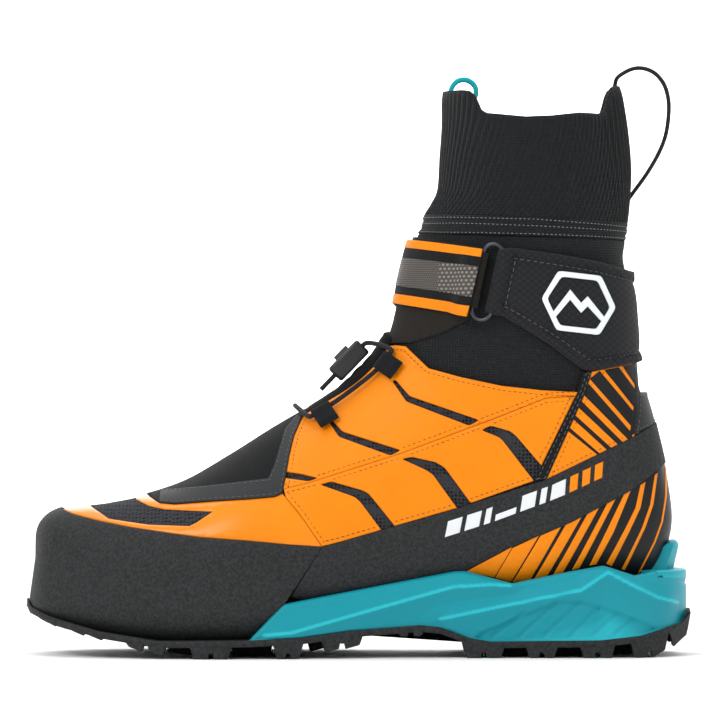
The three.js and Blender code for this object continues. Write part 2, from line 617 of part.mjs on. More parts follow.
function ringGeometry() {
  const bevel = RING_WIRE * 0.42;
  const outline = shapeOf(stadium(RING_LENGTH - 2 * bevel, RING_WIDTH - 2 * bevel));
  const hole = stadium(RING_LENGTH - 4 * RING_WIRE + 2 * bevel, RING_WIDTH - 4 * RING_WIRE + 2 * bevel);
  outline.holes.push(new THREE.Path(hole.map(([x, y]) => new THREE.Vector2(x, y))));
  const geometry = new THREE.ExtrudeGeometry(outline, {
    depth: 2 * (RING_WIRE - bevel),
    bevelThickness: bevel,
    bevelSize: bevel,
    bevelSegments: 1,
    curveSegments: 1,
  });
  return geometry.translate(0, 0, bevel - RING_WIRE).applyMatrix4(ringPlace);
}
add("strap_ring", solid(ringGeometry()), STEEL);

const COLLAR_OUTLINE = [
  [57, 156], ...COLLAR_BOTTOM.slice(1), ...STAY_TOP, [150, 137], [150, 172], ...reversed(COLLAR_TOP).slice(0, -1), [64.3, 185.3],
];
add("ankle_collar", panel(COLLAR, COLLAR_OUTLINE).subtract(barRod(BAR, FOLD_INNER, RING_LENGTH)).subtract(ringEnds()), BLACK_CLOTH);

// The band round the front of the ankle; its end folds round the ring's front bar.
const STRAP_BAND = [
  [56.7, 155], [53.5, 152], [37.5, 147], [24, 142.8], [12, 142.5], [-20, 142.5], [-20, 190], [25, 190],
  [37.5, 188], [55, 185.5], [64, 184.5],
];
const nearRing = (distance) => sideBlock(
  [[-60, 100], [RING_AXIS[0][0] - distance - 11, 100], [RING_AXIS[1][0] - distance + 3, 205], [-60, 205]],
  OUTER(), 0,
);
const strapSleeve = barRod(-BAR, FOLD_OUTER, STRAP_END).subtract(barRod(-BAR, FOLD_INNER, RING_LENGTH));
const strapBand = panel(STRAP, STRAP_BAND)
  .subtract(sideBlock([[40, 100], [80, 100], [80, 205], [40, 205]], OUTER(), 0)
    .subtract(nearRing(BAR)))
  .subtract(barRod(-BAR, FOLD_INNER, RING_LENGTH));
add("strap_band", strapBand.add(strapSleeve), GREY_STRETCH);

// The strap's free end lies on the band and rises over the fold at the ring.
const TAB_RAMP = 12;
function tabLevel(level) {
  return (p) => {
    const fromRing = p.clone().sub(RING.centre);
    const near = THREE.MathUtils.smoothstep(fromRing.dot(RING.across), -BAR - TAB_RAMP, -BAR - FOLD_OUTER);
    const overFold = RING_LEVEL + FOLD_OUTER + 2 * GAP + level - TAB[0] - fromRing.dot(RING.out);
    return p.y < 0 ? THREE.MathUtils.lerp(level, overFold, near) : level;
  };
}
const STRAP_TAB = [[-20, 190.5], [20.5, 189.5], [57.5, 184.5], [57, 180], [51.2, 155], [15, 161], [-20, 164]];
const TAB_PAST_FRONT = 14; // the tab ends this far past the front of the ankle, on the inner side
add(
  "strap_tab",
  patch([11, 18.5], [-0.16, 0.3], TAB.map(tabLevel), 14, 20)
    .intersect(sideBlock(STRAP_TAB, [-FAR, TAB_PAST_FRONT * SY])),
  REFLECTIVE,
);

// ---------------------------------------------------------------- lace, loops and lock

const LACE_LEVEL = OVERLAY[1] + GAP + LOOP_WEB + LACE_PLAY + LACE_RADIUS;
const LOOPS = { low: 9.1, high: 11.1 };
const LOOP_U = 0.062; // side position of the loops, just outside the throat
const LOCK_STATION = 10.25;
const LOCK_BORE_Y = 4.3; // each lace end runs this far from the middle of the lock
const LOCK_FLOOR = TONGUE[1] + 2.6; // air under the lock

function instepFrame(s, u, level) {
  const out = skinNormal(s, u);
  const up = skinPoint(s + 0.3, u).sub(skinPoint(s - 0.3, u));
  up.addScaledVector(out, -up.dot(out)).normalize();
  return { centre: skinPoint(s, u).addScaledVector(out, level), up, side: new THREE.Vector3().crossVectors(out, up), out };
}

// Webbing folded round the lace and sewn to the edge of the quarter: a hairpin with an eye.
function laceLoop(s, u) {
  const { centre, up, side, out } = instepFrame(s, u, LACE_LEVEL);
  const away = Math.sign(side.y) === (u < 0.5 ? -1 : 1) ? side : side.clone().negate();
  const eye = LACE_RADIUS + LACE_PLAY;
  const bend = eye + LOOP_WEB;
  const tail = 9;
  const shape = new THREE.Shape();
  shape.absarc(0, 0, bend, Math.PI / 2, (3 * Math.PI) / 2, false);
  shape.lineTo(tail, -bend);
  shape.lineTo(tail, -bend + 2 * LOOP_WEB);
  shape.lineTo(bend, -bend + 2 * LOOP_WEB + 0.6);
  shape.closePath();
  shape.holes.push(new THREE.Path().absarc(0, 0, eye, 0, 2 * Math.PI, true));
  const web = new THREE.ExtrudeGeometry(shape, { depth: LOOP_WIDTH, bevelEnabled: false, curveSegments: 6 });
  web.translate(0, 0, -LOOP_WIDTH / 2);
  const frame = new THREE.Matrix4().makeBasis(away, out, away.clone().cross(out));
  frame.setPosition(centre);
  return { piece: solid(web.applyMatrix4(frame)), centre, up };
}

const loops = {};
for (const [height, s] of Object.entries(LOOPS)) {
  for (const [side, u] of [["outer", LOOP_U], ["inner", 1 - LOOP_U]]) {
    const name = `lace_loop_${height}_${side}`;
    loops[name] = laceLoop(s, u);
    add(name, loops[name].piece.subtract(last(OVERLAY[1] + GAP)), BLACK_CLOTH);
  }
}

// The lock lies on the instep, a little steeper than the instep itself.
const LOCK_TILT = THREE.MathUtils.degToRad(4);
function lockFrame() {
  const { centre, up, out } = instepFrame(LOCK_STATION, 0, LOCK_FLOOR + LOCK_HEIGHT / 2);
  const side = new THREE.Vector3(0, -1, 0);
  up.applyAxisAngle(side, LOCK_TILT);
  out.applyAxisAngle(side, LOCK_TILT);
  return { centre, up, side, out };
}
const LOCK = lockFrame();
const lockPlace = new THREE.Matrix4().makeBasis(LOCK.up, LOCK.out.clone().cross(LOCK.up), LOCK.out);
lockPlace.setPosition(LOCK.centre);

function roundedBlock(length, width, height, corner, bevel) {
  const x = length / 2 - bevel;
  const y = width / 2 - bevel;
  const shape = new THREE.Shape();
  shape.absarc(x - corner, y - corner, corner, 0, Math.PI / 2, false);
  shape.absarc(corner - x, y - corner, corner, Math.PI / 2, Math.PI, false);
  shape.absarc(corner - x, corner - y, corner, Math.PI, 1.5 * Math.PI, false);
  shape.absarc(x - corner, corner - y, corner, 1.5 * Math.PI, 2 * Math.PI, false);
  const geometry = new THREE.ExtrudeGeometry(shape, {
    depth: height - 2 * bevel,
    bevelThickness: bevel,
    bevelSize: bevel,
    bevelSegments: 1,
    curveSegments: 3,
  });
  return geometry.translate(0, 0, bevel - height / 2);
}

const POCKET_DEPTH = 5.5;
const FLOOR_OF_POCKET = LOCK_HEIGHT / 2 - POCKET_DEPTH;
function lockHousing() {
  let housing = solid(roundedBlock(LOCK_LENGTH, LOCK_WIDTH, LOCK_HEIGHT, 2, 0.8));
  for (const y of [-LOCK_BORE_Y, LOCK_BORE_Y]) {
    const bore = new THREE.CylinderGeometry(LACE_RADIUS + LACE_PLAY, LACE_RADIUS + LACE_PLAY, LOCK_LENGTH * 2, 10);
    housing = housing.subtract(solid(bore.rotateZ(Math.PI / 2).translate(0, y, 0)));
  }
  const pocket = new THREE.BoxGeometry(BUTTON_LENGTH + 2 * GAP, BUTTON_WIDTH + 2 * GAP, POCKET_DEPTH * 2);
  return housing.subtract(solid(pocket.translate(0, 0, FLOOR_OF_POCKET + POCKET_DEPTH)));
}
const placed = (piece) => piece.transform(lockPlace.toArray());
add("lace_lock", placed(lockHousing()), BLACK_PLASTIC);

const SPRING_ROOM = BUTTON_TRAVEL + 1;
const BUTTON_HEIGHT = POCKET_DEPTH - SPRING_ROOM + BUTTON_PROUD;
const buttonMiddle = FLOOR_OF_POCKET + SPRING_ROOM + BUTTON_HEIGHT / 2;
const button = roundedBlock(BUTTON_LENGTH, BUTTON_WIDTH, BUTTON_HEIGHT, 1, 0.5).translate(0, 0, buttonMiddle);
add("lock_button", placed(solid(button)), GREY_FILM);

function wireAlong(path, width, thickness, steps, sides = 8) {
  const section = new THREE.Shape(
    Array.from({ length: sides }, (_, i) => {
      const angle = (2 * Math.PI * (i + 0.5)) / sides;
      return new THREE.Vector2((thickness / 2) * Math.cos(angle), (width / 2) * Math.sin(angle));
    }),
  );
  return new THREE.ExtrudeGeometry(section, { extrudePath: path, steps, bevelEnabled: false });
}
// A bowed leaf of spring steel between the floor of the pocket and the button.
function leafSpring() {
  const half = BUTTON_LENGTH / 2 - 0.6;
  const rise = SPRING_ROOM - SPRING_LEAF - 2 * GAP;
  const lower = Array.from({ length: 7 }, (_, i) => {
    const t = i / 3 - 1;
    return [half * t, rise * (1 - t * t)];
  });
  const upper = reversed(lower).map(([x, z]) => [x, z + SPRING_LEAF]);
  const leaf = new THREE.ExtrudeGeometry(shapeOf([...lower, ...upper]), { depth: SPRING_WIDTH, bevelEnabled: false });
  return leaf.rotateX(Math.PI / 2).translate(0, SPRING_WIDTH / 2, FLOOR_OF_POCKET + GAP);
}
add("lock_spring", placed(solid(leafSpring())), SPRING_STEEL);

// One lace: from its tail through the lock, up to the high loop, down through both loops of the
// outer side, across the instep, and back up the inner side into the lock again.
function laceCurve() {
  const onLock = (x, y) => new THREE.Vector3(x, y, 0).applyMatrix4(lockPlace);
  const beside = (name, steps) => steps.map((t) => loops[name].centre.clone().addScaledVector(loops[name].up, t));
  const strand = (side, sign) => [
    onLock(-LOCK_LENGTH / 2 - LOCK_TRAVEL - 3, sign * LOCK_BORE_Y),
    onLock(-LOCK_LENGTH / 2 + 2, sign * LOCK_BORE_Y),
    onLock(0, sign * LOCK_BORE_Y),
    onLock(LOCK_LENGTH / 2 - 2, sign * LOCK_BORE_Y),
    onLock(LOCK_LENGTH / 2 + 1.5, sign * (LOCK_BORE_Y + 0.2)),
    ...beside(`lace_loop_high_${side}`, [LOOP_WIDTH / 2 + 1.5, LOOP_WIDTH / 2 - 1, 0, -LOOP_WIDTH / 2]),
    ...beside(`lace_loop_low_${side}`, [LOOP_WIDTH / 2 + 1, 0, -LOOP_WIDTH / 2, -LOOP_WIDTH / 2 - 1.2]),
  ];
  const outer = strand("outer", -1);
  const inner = strand("inner", 1);
  const { centre, up, out } = instepFrame(LOOPS.low, 0, LACE_LEVEL);
  const across = centre.clone().addScaledVector(up, -LOOP_WIDTH / 2 - 6).addScaledVector(out, 1);
  return new THREE.CatmullRomCurve3([...outer, across, ...reversed(inner)], false, "centripetal");
}
add("lace", solid(wireAlong(laceCurve(), 2 * LACE_RADIUS, 2 * LACE_RADIUS, 64, 6)), BLACK_CLOTH);

// ---------------------------------------------------------------- pull loops

// Turquoise tape sewn to the inside of the cuff's front tab as a teardrop.
const FRONT_LOOP = [
  [42.1, 251.5], [42.1, 255.5], [43.3, 259.5], [46, 262.5], [50, 262.8], [53.5, 260], [54, 256],
  [51.5, 252], [48, 249.5], [44.2, 249],
];
function frontLoop() {
  const outside = smooth(drawnSide(FRONT_LOOP), FRONT_LOOP.length * 2, true);
  const tape = shapeOf(outside);
  tape.holes.push(new THREE.Path(inset(outside, PULL_TAPE_THICKNESS).map(([x, z]) => new THREE.Vector2(x, z))));
  const geometry = new THREE.ExtrudeGeometry(tape, { depth: PULL_TAPE_WIDTH, bevelEnabled: false });
  return geometry.rotateX(Math.PI / 2).translate(0, PULL_TAPE_WIDTH / 2, 0);
}
add("front_pull_loop", solid(frontLoop()), TURQUOISE);

// Flat cord from the top of the back tab to the back seam of the cuff, in the boot's middle plane.
const HEEL_LOOP = [
  [118.5, 261.8], [119, 264], [121.5, 266], [126.5, 268.3], [131.5, 268.3], [136.5, 266], [140.5, 261], [142.5, 254],
  [142.5, 246], [141, 237], [138, 229.5], [132.5, 220], [126, 211],
];
function heelLoop() {
  const points = HEEL_LOOP.map(([x, z]) => new THREE.Vector3(x * SX, 0, z * SZ));
  return wireAlong(new THREE.CatmullRomCurve3(points), HEEL_CORD_WIDTH, HEEL_CORD_THICKNESS, 26);
}
add("heel_pull_loop", solid(heelLoop()), BLACK_CLOTH);

// ---------------------------------------------------------------- emblem on the collar

// A plain six-sided badge with a peak cut through it, printed on both sides of the collar.
const EMBLEM = { middle: [100, 160.5], long: 17, short: 14.5, rim: 3.6 };
function emblemOutline(grow) {
  const { middle: [x, z], long, short } = EMBLEM;
  const a = long - grow;
  const b = short - grow;
  return [[x - a, z + 2], [x - a * 0.55, z + b], [x + a * 0.6, z + b * 0.85], [x + a, z - 2], [x + a * 0.55, z - b], [x - a * 0.6, z - b * 0.85]];
}
const peak = (() => {
  const { middle: [x, z] } = EMBLEM;
  return [[x - 14.5, z - 6], [x - 4, z + 6], [x + 1, z], [x + 4, z + 3], [x + 14.5, z - 8], [x + 12, z - 9.5], [x + 4, z - 2], [x + 1, z - 4.5], [x - 4, z + 1], [x - 12.5, z - 8]];
})();
for (const [side, span] of [["outer", OUTER()], ["inner", INNER()]]) {
  const print = layer([COLLAR[1] + GAP, COLLAR[1] + GAP + PRINT_WALL]);
  const rim = sideBlock(emblemOutline(0), span, 0).subtract(sideBlock(emblemOutline(EMBLEM.rim), span, 0));
  add(`emblem_${side}`, print.intersect(rim.add(sideBlock(peak, span, 0))), PRINT_WHITE);
}

// ---------------------------------------------------------------- midsole, ledge and outsole

const SOLE_PLAN = smooth([
  [-152, 6], [-148, -12], [-138, -27], [-120, -41], [-95, -50], [-65, -54], [-35, -52], [0, -46.5],
  [35, -43], [70, -41.5], [105, -42], [130, -37.5], [146, -23], [152.5, 0], [146, 23], [130, 37],
  [105, 40.5], [70, 39], [35, 38.5], [0, 41], [-35, 47.5], [-65, 52], [-95, 51.5], [-120, 46], [-138, 36], [-148, 23],
], 64, true);
const MIDSOLE_INSET = 1.5;
const MIDSOLE = [...MIDSOLE_TOP, [139, 39], [150, 33], [150, 19], ...reversed(MIDSOLE_BOTTOM).slice(0, -1)];
const LEDGE = [
  [137, 33], [141, 26.8], [148.5, 26.8], [151, 36], [151, 39], [144.5, 39.5], [145.5, 43], [147, 50],
  [145, 52.5], [142.5, 51], [139, 43],
];
const FIN_HALF_WIDTH = 15;
const LEDGE_FRONT = [[136, 0], [136, 60], [170, 60], [170, 0]];

const ledgeRegion = sideBlock(LEDGE, BOTH, 0).intersect(sideBlock(LEDGE_FRONT, BOTH, 0));
const fullHeel = planBlock(SOLE_PLAN, 0.4);
const fin = sideBlock([[120, 39], [170, 39], [170, 60], [120, 60]], [-FIN_HALF_WIDTH * SY, FIN_HALF_WIDTH * SY], 0);
const lowLedge = sideBlock([[120, 0], [170, 0], [170, 39.5], [120, 39.5]], BOTH, 0);
const ledge = ledgeRegion
  .intersect(fullHeel)
  .intersect(lowLedge.add(fin))
  .subtract(last(SOLE_CLEARANCE));
add("heel_ledge", ledge, TURQUOISE);

const midsole = sideBlock(MIDSOLE)
  .intersect(planBlock(SOLE_PLAN, MIDSOLE_INSET))
  .subtract(last(SOLE_CLEARANCE))
  .subtract(sideBlock(inset(LEDGE, -0.4), BOTH, 0));
add("midsole", midsole, TURQUOISE);

const FOREFOOT = [
  ...reversed(OUTSOLE_TOP.filter(([x]) => x < -60)), [-150, 45], [-60, 30], [-35, 26], [-33.6, 24.3], [-48.8, 8.5],
];
add(
  "forefoot_midsole",
  sideBlock(FOREFOOT).intersect(last(RAND[0] - 2 * GAP, true)).subtract(last(PLATE[1] + GAP)),
  FOAM,
);

// Lugs: [x of the middle, length, number of rows across]. Two rows are the edges only.
const LUGS = [
  [-137, 8, 2], [-121, 14, 3], [-96, 15, 4], [-66, 15, 4], [-31, 14, 4], [-7.5, 14, 2],
  [24, 10, 2], [56, 14, 3], [83, 13, 4], [108.5, 13, 4], [132.5, 14, 3],
];
const LUG_REACH = 15; // of an edge lug, inwards from the outsole's edge
const LUG_SPREAD = 2.2; // a lug is longer by this at its root
const LUG_ROOT = 14;
const lugBlock = (x, length, y0, y1) => sideBlock(
  [[x - length / 2, -1], [x + length / 2, -1], [x + length / 2 + LUG_SPREAD, LUG_ROOT], [x + length / 2 + LUG_SPREAD, 30],
    [x - length / 2 - LUG_SPREAD, 30], [x - length / 2 - LUG_SPREAD, LUG_ROOT]],
  [y0 * SY, y1 * SY], 0,
);
const OUTSOLE_LOW = OUTSOLE_TOP.map(([x, z]) => [x, z - OUTSOLE_BASE]);
const outsoleSheet = sideBlock([...OUTSOLE_TOP, ...reversed(OUTSOLE_LOW)]);
let lugs = null;
for (const [x, length, across] of LUGS) {
  const half = across > 2 ? 54 : 60;
  const rows = [[-half - 10, -half + 10 + LUG_REACH], [half - 10 - LUG_REACH, half + 10]];
  if (across === 3) rows.push([-7, 7]);
  if (across === 4) rows.push([-20, -4], [4, 20]);
  rows.forEach(([y0, y1], i) => {
    const block = lugBlock(i > 1 && across === 4 ? x - 12 : x, length - (i > 1 ? 2 : 0), y0, y1);
    lugs = lugs ? lugs.add(block) : block;
  });
}
const lugRoom = sideBlock([...OUTSOLE_TOP.map(([x, z]) => [x, z - 1]), ...GROUND], BOTH, 0);
add(
  "outsole",
  outsoleSheet.add(lugs.intersect(lugRoom)).intersect(planBlock(SOLE_PLAN)),
  BLACK_RUBBER,
);

// ---------------------------------------------------------------- origin

const box = new THREE.Box3().setFromObject(boot);
boot.position.set(-(box.min.x + box.max.x) / 2, -(box.min.y + box.max.y) / 2, -box.min.z);

export default boot;
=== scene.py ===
import math

import bmesh
import bpy
import numpy as np
from mathutils import Matrix, Vector
from mathutils.geometry import delaunay_2d_cdt
from mathutils.kdtree import KDTree


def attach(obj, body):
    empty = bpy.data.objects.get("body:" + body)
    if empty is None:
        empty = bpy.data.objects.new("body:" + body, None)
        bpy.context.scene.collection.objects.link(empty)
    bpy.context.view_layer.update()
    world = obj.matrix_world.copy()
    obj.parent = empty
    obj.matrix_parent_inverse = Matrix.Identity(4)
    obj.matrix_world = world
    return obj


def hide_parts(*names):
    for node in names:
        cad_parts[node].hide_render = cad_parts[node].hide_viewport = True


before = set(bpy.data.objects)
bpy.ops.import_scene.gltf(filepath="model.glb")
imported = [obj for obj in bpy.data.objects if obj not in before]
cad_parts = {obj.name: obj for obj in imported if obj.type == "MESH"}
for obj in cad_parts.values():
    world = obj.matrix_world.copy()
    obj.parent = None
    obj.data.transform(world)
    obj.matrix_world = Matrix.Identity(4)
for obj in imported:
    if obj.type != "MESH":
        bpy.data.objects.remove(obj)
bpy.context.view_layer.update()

# ------------------------------------------------------------------ table and light
# The boot stands on a plain white sweep of card under three large soft lamps, seen level from its
# outer side, as in a catalogue. A fourth lamp whitens the sweep behind it.

MM = 0.001
WHITE = "#ffffff"
SIDES = ("outer", "inner")


def linear(code, alpha=1.0):
    """An sRGB hex colour as the linear colour that a shader takes."""
    parts = [int(code[i:i + 2], 16) / 255 for i in (1, 3, 5)]
    return tuple(c / 12.92 if c <= 0.04045 else ((c + 0.055) / 1.055) ** 2.4 for c in parts) + (alpha,)


def add_node(tree, kind, links=None, **settings):
    """A node with its settings; a link is a node or a socket, and a value goes straight in."""
    node = tree.nodes.new(kind)
    for key, value in settings.items():
        setattr(node, key, value)
    for key, value in (links or {}).items():
        socket = node.inputs[key]
        if isinstance(value, bpy.types.Node):
            value = value.outputs[0]
        if isinstance(value, bpy.types.NodeSocket):
            tree.links.new(value, socket)
        else:
            socket.default_value = value
    return node


def blank_material(name):
    """A material with an empty node tree, and its shader already wired to the output."""
    material = bpy.data.materials.new(name)
    material.use_nodes = True
    tree = material.node_tree
    tree.nodes.clear()
    shader = tree.nodes.new("ShaderNodeBsdfPrincipled")
    output = tree.nodes.new("ShaderNodeOutputMaterial")
    tree.links.new(shader.outputs[0], output.inputs[0])
    return material, tree, shader


def in_scene(name, data):
    piece = bpy.data.objects.new(name, data)
    bpy.context.scene.collection.objects.link(piece)
    return piece


def mesh_object(name, vertices, faces, material=None):
    """An object at the origin whose points are given in millimetres."""
    mesh = bpy.data.meshes.new(name)
    mesh.from_pydata([tuple(v) for v in np.asarray(vertices, float) * MM], [], [tuple(f) for f in faces])
    mesh.validate()
    mesh.polygons.foreach_set("use_smooth", [True] * len(mesh.polygons))
    if material:
        mesh.materials.append(material)
    return in_scene(name, mesh)


def face_out(piece, merge=0.0):
    """Merges doubles closer than a distance in m, and turns every face of a closed mesh outwards."""
    bm = bmesh.new()
    bm.from_mesh(piece.data)
    if merge:
        bmesh.ops.remove_doubles(bm, verts=bm.verts, dist=merge)
    bmesh.ops.recalc_face_normals(bm, faces=bm.faces)
    bm.to_mesh(piece.data)
    bm.free()
    return piece


def white_sweep():
    """Floor that curves up into a wall far behind the boot."""
    card, _, shader = blank_material("matt_white_card")
    shader.inputs["Base Color"].default_value = linear(WHITE)
    shader.inputs["Roughness"].default_value = 0.9
    front, back, bend, height, half_width = -12.0, 4.2, 1.5, 7.0, 14
    points = [(front, 0.0), (back, 0.0)]
    points += [(back + bend * math.sin(a), bend - bend * math.cos(a))
               for a in np.linspace(0.1, math.pi / 2, 10)]
    points += [(back + bend, height)]
    vertices = [(x / MM, y / MM, z / MM) for y, z in points for x in (-half_width, half_width)]
    faces = [(2 * i, 2 * i + 1, 2 * i + 3, 2 * i + 2) for i in range(len(points) - 1)]
    return mesh_object("white_sweep", vertices, faces, card)


white_sweep()

LENS, SENSOR = 300, 36
camera_data = bpy.data.cameras.new("camera")
camera_data.lens = LENS
camera_data.sensor_width = SENSOR
camera = in_scene("camera", camera_data)
bpy.context.scene.camera = camera
# The view is 327.2 mm wide at the boot's outer side, from a point level with the ankle.
CAMERA_DISTANCE = 0.3272 * LENS / SENSOR
camera.location = (0.0011, -0.024 - CAMERA_DISTANCE, 0.1347)
camera.rotation_euler = (math.radians(90), 0, 0)


def lamp(name, size, power, place, aim):
    data = bpy.data.lights.new(name, "AREA")
    data.shape = "RECTANGLE"
    data.size, data.size_y = size
    data.energy = power
    piece = in_scene(name, data)
    piece.location = place
    piece.rotation_euler = (Vector(aim) - Vector(place)).to_track_quat("-Z", "Y").to_euler()


lamp("key_softbox", (1.0, 0.7), 17, (-1.0, -1.2, 1.3), (0, 0, 0.1))
lamp("fill_softbox", (1.0, 1.0), 5, (1.3, -1.1, 0.8), (0, 0, 0.1))
lamp("top_softbox", (1.6, 1.0), 15, (0.0, 0.35, 1.6), (0, 0, 0.1))
lamp("backdrop_softbox", (6.0, 1.5), 330, (0, 2.9, 3.2), (0, 5.7, 1.2))
world = bpy.data.worlds.new("soft_room")
world.use_nodes = True
world.node_tree.nodes["Background"].inputs[0].default_value = linear(WHITE)
world.node_tree.nodes["Background"].inputs[1].default_value = 0.62
bpy.context.scene.world = world
bpy.context.scene.view_settings.view_transform = "Standard"

# ------------------------------------------------------------------ knitted sock boot
# The inner boot is one seamless knitted tube from toe to ankle. Its outside is the surface that
# every panel of the upper is cut from, so it is drawn first, from cross-sections along the foot
# and up the leg.

SHIFT = np.array([0.02418, 0.77811, 0.0])
# Top x, z; bottom x, z; bottom of the rubber envelope x, z; share of the height at the widest
# point; half-width outside and inside; sideways shift; roundness above, below and of the envelope.
STATIONS = np.array([
    [-144.5, 54, -144.5, 34, -147.5, 23, 0.5, 0, 0, 7, 2.4, 2.6, 4],
    [-143, 58.5, -143.5, 31, -146, 21, 0.46, 13.5, 13, 7, 2.4, 2.8, 4],
    [-138.5, 62.5, -139.5, 28.5, -141.5, 18, 0.43, 24, 23, 6.5, 2.5, 3, 4.5],
    [-130, 65, -131, 26, -132, 15, 0.4, 32, 31, 6, 2.6, 3.2, 5],
    [-115, 67, -116, 22.5, -116, 11.5, 0.38, 40, 38, 4.5, 2.5, 3.2, 5],
    [-98, 70.5, -98, 20, -98, 8.8, 0.36, 45, 43, 3, 2.3, 3.2, 5],
    [-78, 77, -76, 18.5, -76, 8, 0.34, 48, 46, 1.5, 2.1, 3.2, 5],
    [-57, 89, -50, 18.5, -50, 8.5, 0.32, 48.5, 45.5, 0.5, 1.95, 3.1, 5],
    [-38, 101, -22, 20, -22, 12, 0.31, 45.5, 41, 0, 1.85, 2.9, 4],
    [-18, 113, 8, 23, 8, 19, 0.31, 41.5, 36.5, -0.5, 1.8, 2.7, 3.2],
    [-1, 124.5, 40, 26, 40, 26, 0.33, 38.5, 34.5, 0, 1.85, 2.6, 2.6],
    [10.5, 136, 75, 28, 75, 28, 0.35, 36.5, 34.5, 0, 1.95, 2.6, 2.6],
    [15.5, 146, 106, 28.5, 106, 28.5, 0.38, 35, 34.5, 0, 2, 2.6, 2.6],
    [18.5, 157, 131, 35, 131, 35, 0.42, 35, 35, 0, 2.1, 2.5, 2.5],
    [20.5, 168, 141, 57, 141, 57, 0.46, 35.5, 35.5, 0, 2.1, 2.4, 2.4],
    [22.5, 177, 139.5, 80, 139.5, 80, 0.48, 36.5, 36.5, 0, 2.1, 2.3, 2.3],
    [24.5, 185, 134, 105, 134, 105, 0.5, 37, 37, 0, 2.1, 2.2, 2.2],
    [27, 191, 127.5, 128, 127.5, 128, 0.5, 37, 37, 0, 2.1, 2.15, 2.15],
    [30, 195.5, 123.5, 150, 123.5, 150, 0.5, 37, 37, 0, 2.1, 2.1, 2.1],
    [31, 201, 122.5, 172, 122.5, 172, 0.5, 37, 37, 0, 2.1, 2.1, 2.1],
    [34, 206, 122, 188, 122, 188, 0.5, 36.5, 36.5, 0, 2.1, 2.1, 2.1],
    [37, 213, 124, 203, 124, 203, 0.5, 36, 36, 0, 2.1, 2.1, 2.1],
    [38, 228, 125, 221, 125, 221, 0.5, 36.5, 36.5, 0, 2.1, 2.1, 2.1],
    [39, 244, 123.5, 240, 123.5, 240, 0.5, 37, 37, 0, 2.1, 2.1, 2.1],
    [38.5, 264, 119.5, 265, 119.5, 265, 0.5, 37, 37, 0, 2.1, 2.1, 2.1],
])
LAST = len(STATIONS) - 1
TIP = STATIONS[1].copy()
TIP[7:9] *= -1  # the tip is rounded as if the foot went on mirrored beyond it
ROWS = np.vstack([TIP, STATIONS, 2 * STATIONS[-1] - STATIONS[-2]])


def foot(s, u, rubber=False):
    """Points of the sock's outside in mm. s is the station; u runs from 0 on top or in front,
    over the outer side at 0.25 and the sole or back at 0.5, to the inner side at 0.75."""
    s, u = np.broadcast_arrays(np.asarray(s, float), np.asarray(u, float))
    i = np.clip(np.floor(s).astype(int), 0, LAST - 1)
    t = (s - i)[..., None]
    p0, p1, p2, p3 = ROWS[i], ROWS[i + 1], ROWS[i + 2], ROWS[i + 3]
    r = 0.5 * (2 * p1 + (p2 - p0) * t + (2 * p0 - 5 * p1 + 4 * p2 - p3) * t * t
               + (3 * p1 - p0 - 3 * p2 + p3) * t ** 3)
    top, bottom = r[..., 0:2], (r[..., 4:6] if rubber else r[..., 2:4])
    middle = r[..., 2:4] + (top - r[..., 2:4]) * r[..., 6:7]
    along, across = np.cos(2 * np.pi * u), np.sin(2 * np.pi * u)
    upper = along >= 0
    n = np.where(upper, r[..., 10], r[..., 12] if rubber else r[..., 11])
    size = (np.abs(along) ** n + np.abs(across) ** n) ** (-1 / n)
    end = np.where(upper[..., None], top, bottom)
    xz = middle + (end - middle) * (size * np.abs(along))[..., None]
    half = np.where(across >= 0, r[..., 7], r[..., 8])
    y = r[..., 9] - half * size * across
    return np.stack([xz[..., 0], y, xz[..., 1]], -1)


def outward(s, u, rubber=False):
    """Directions straight out of the sock."""
    s, u = np.broadcast_arrays(np.asarray(s, float), np.asarray(u, float))
    low, high = np.clip(s - 0.04, 0.002, LAST), np.clip(s + 0.04, 0, LAST)
    along = foot(high, u, rubber) - foot(low, u, rubber)
    round_it = foot(s, u + 0.004, rubber) - foot(s, u - 0.004, rubber)
    n = np.cross(round_it, along)
    flat = np.linalg.norm(n, axis=-1, keepdims=True)
    return np.where(flat > 1e-9, n / np.maximum(flat, 1e-9), np.array([-1.0, 0, 0]))


def on_foot(s, u, height, rubber=False):
    """Points at a height above the sock, in the boot's own frame."""
    return foot(s, u, rubber) + outward(s, u, rubber) * np.asarray(height)[..., None] + SHIFT


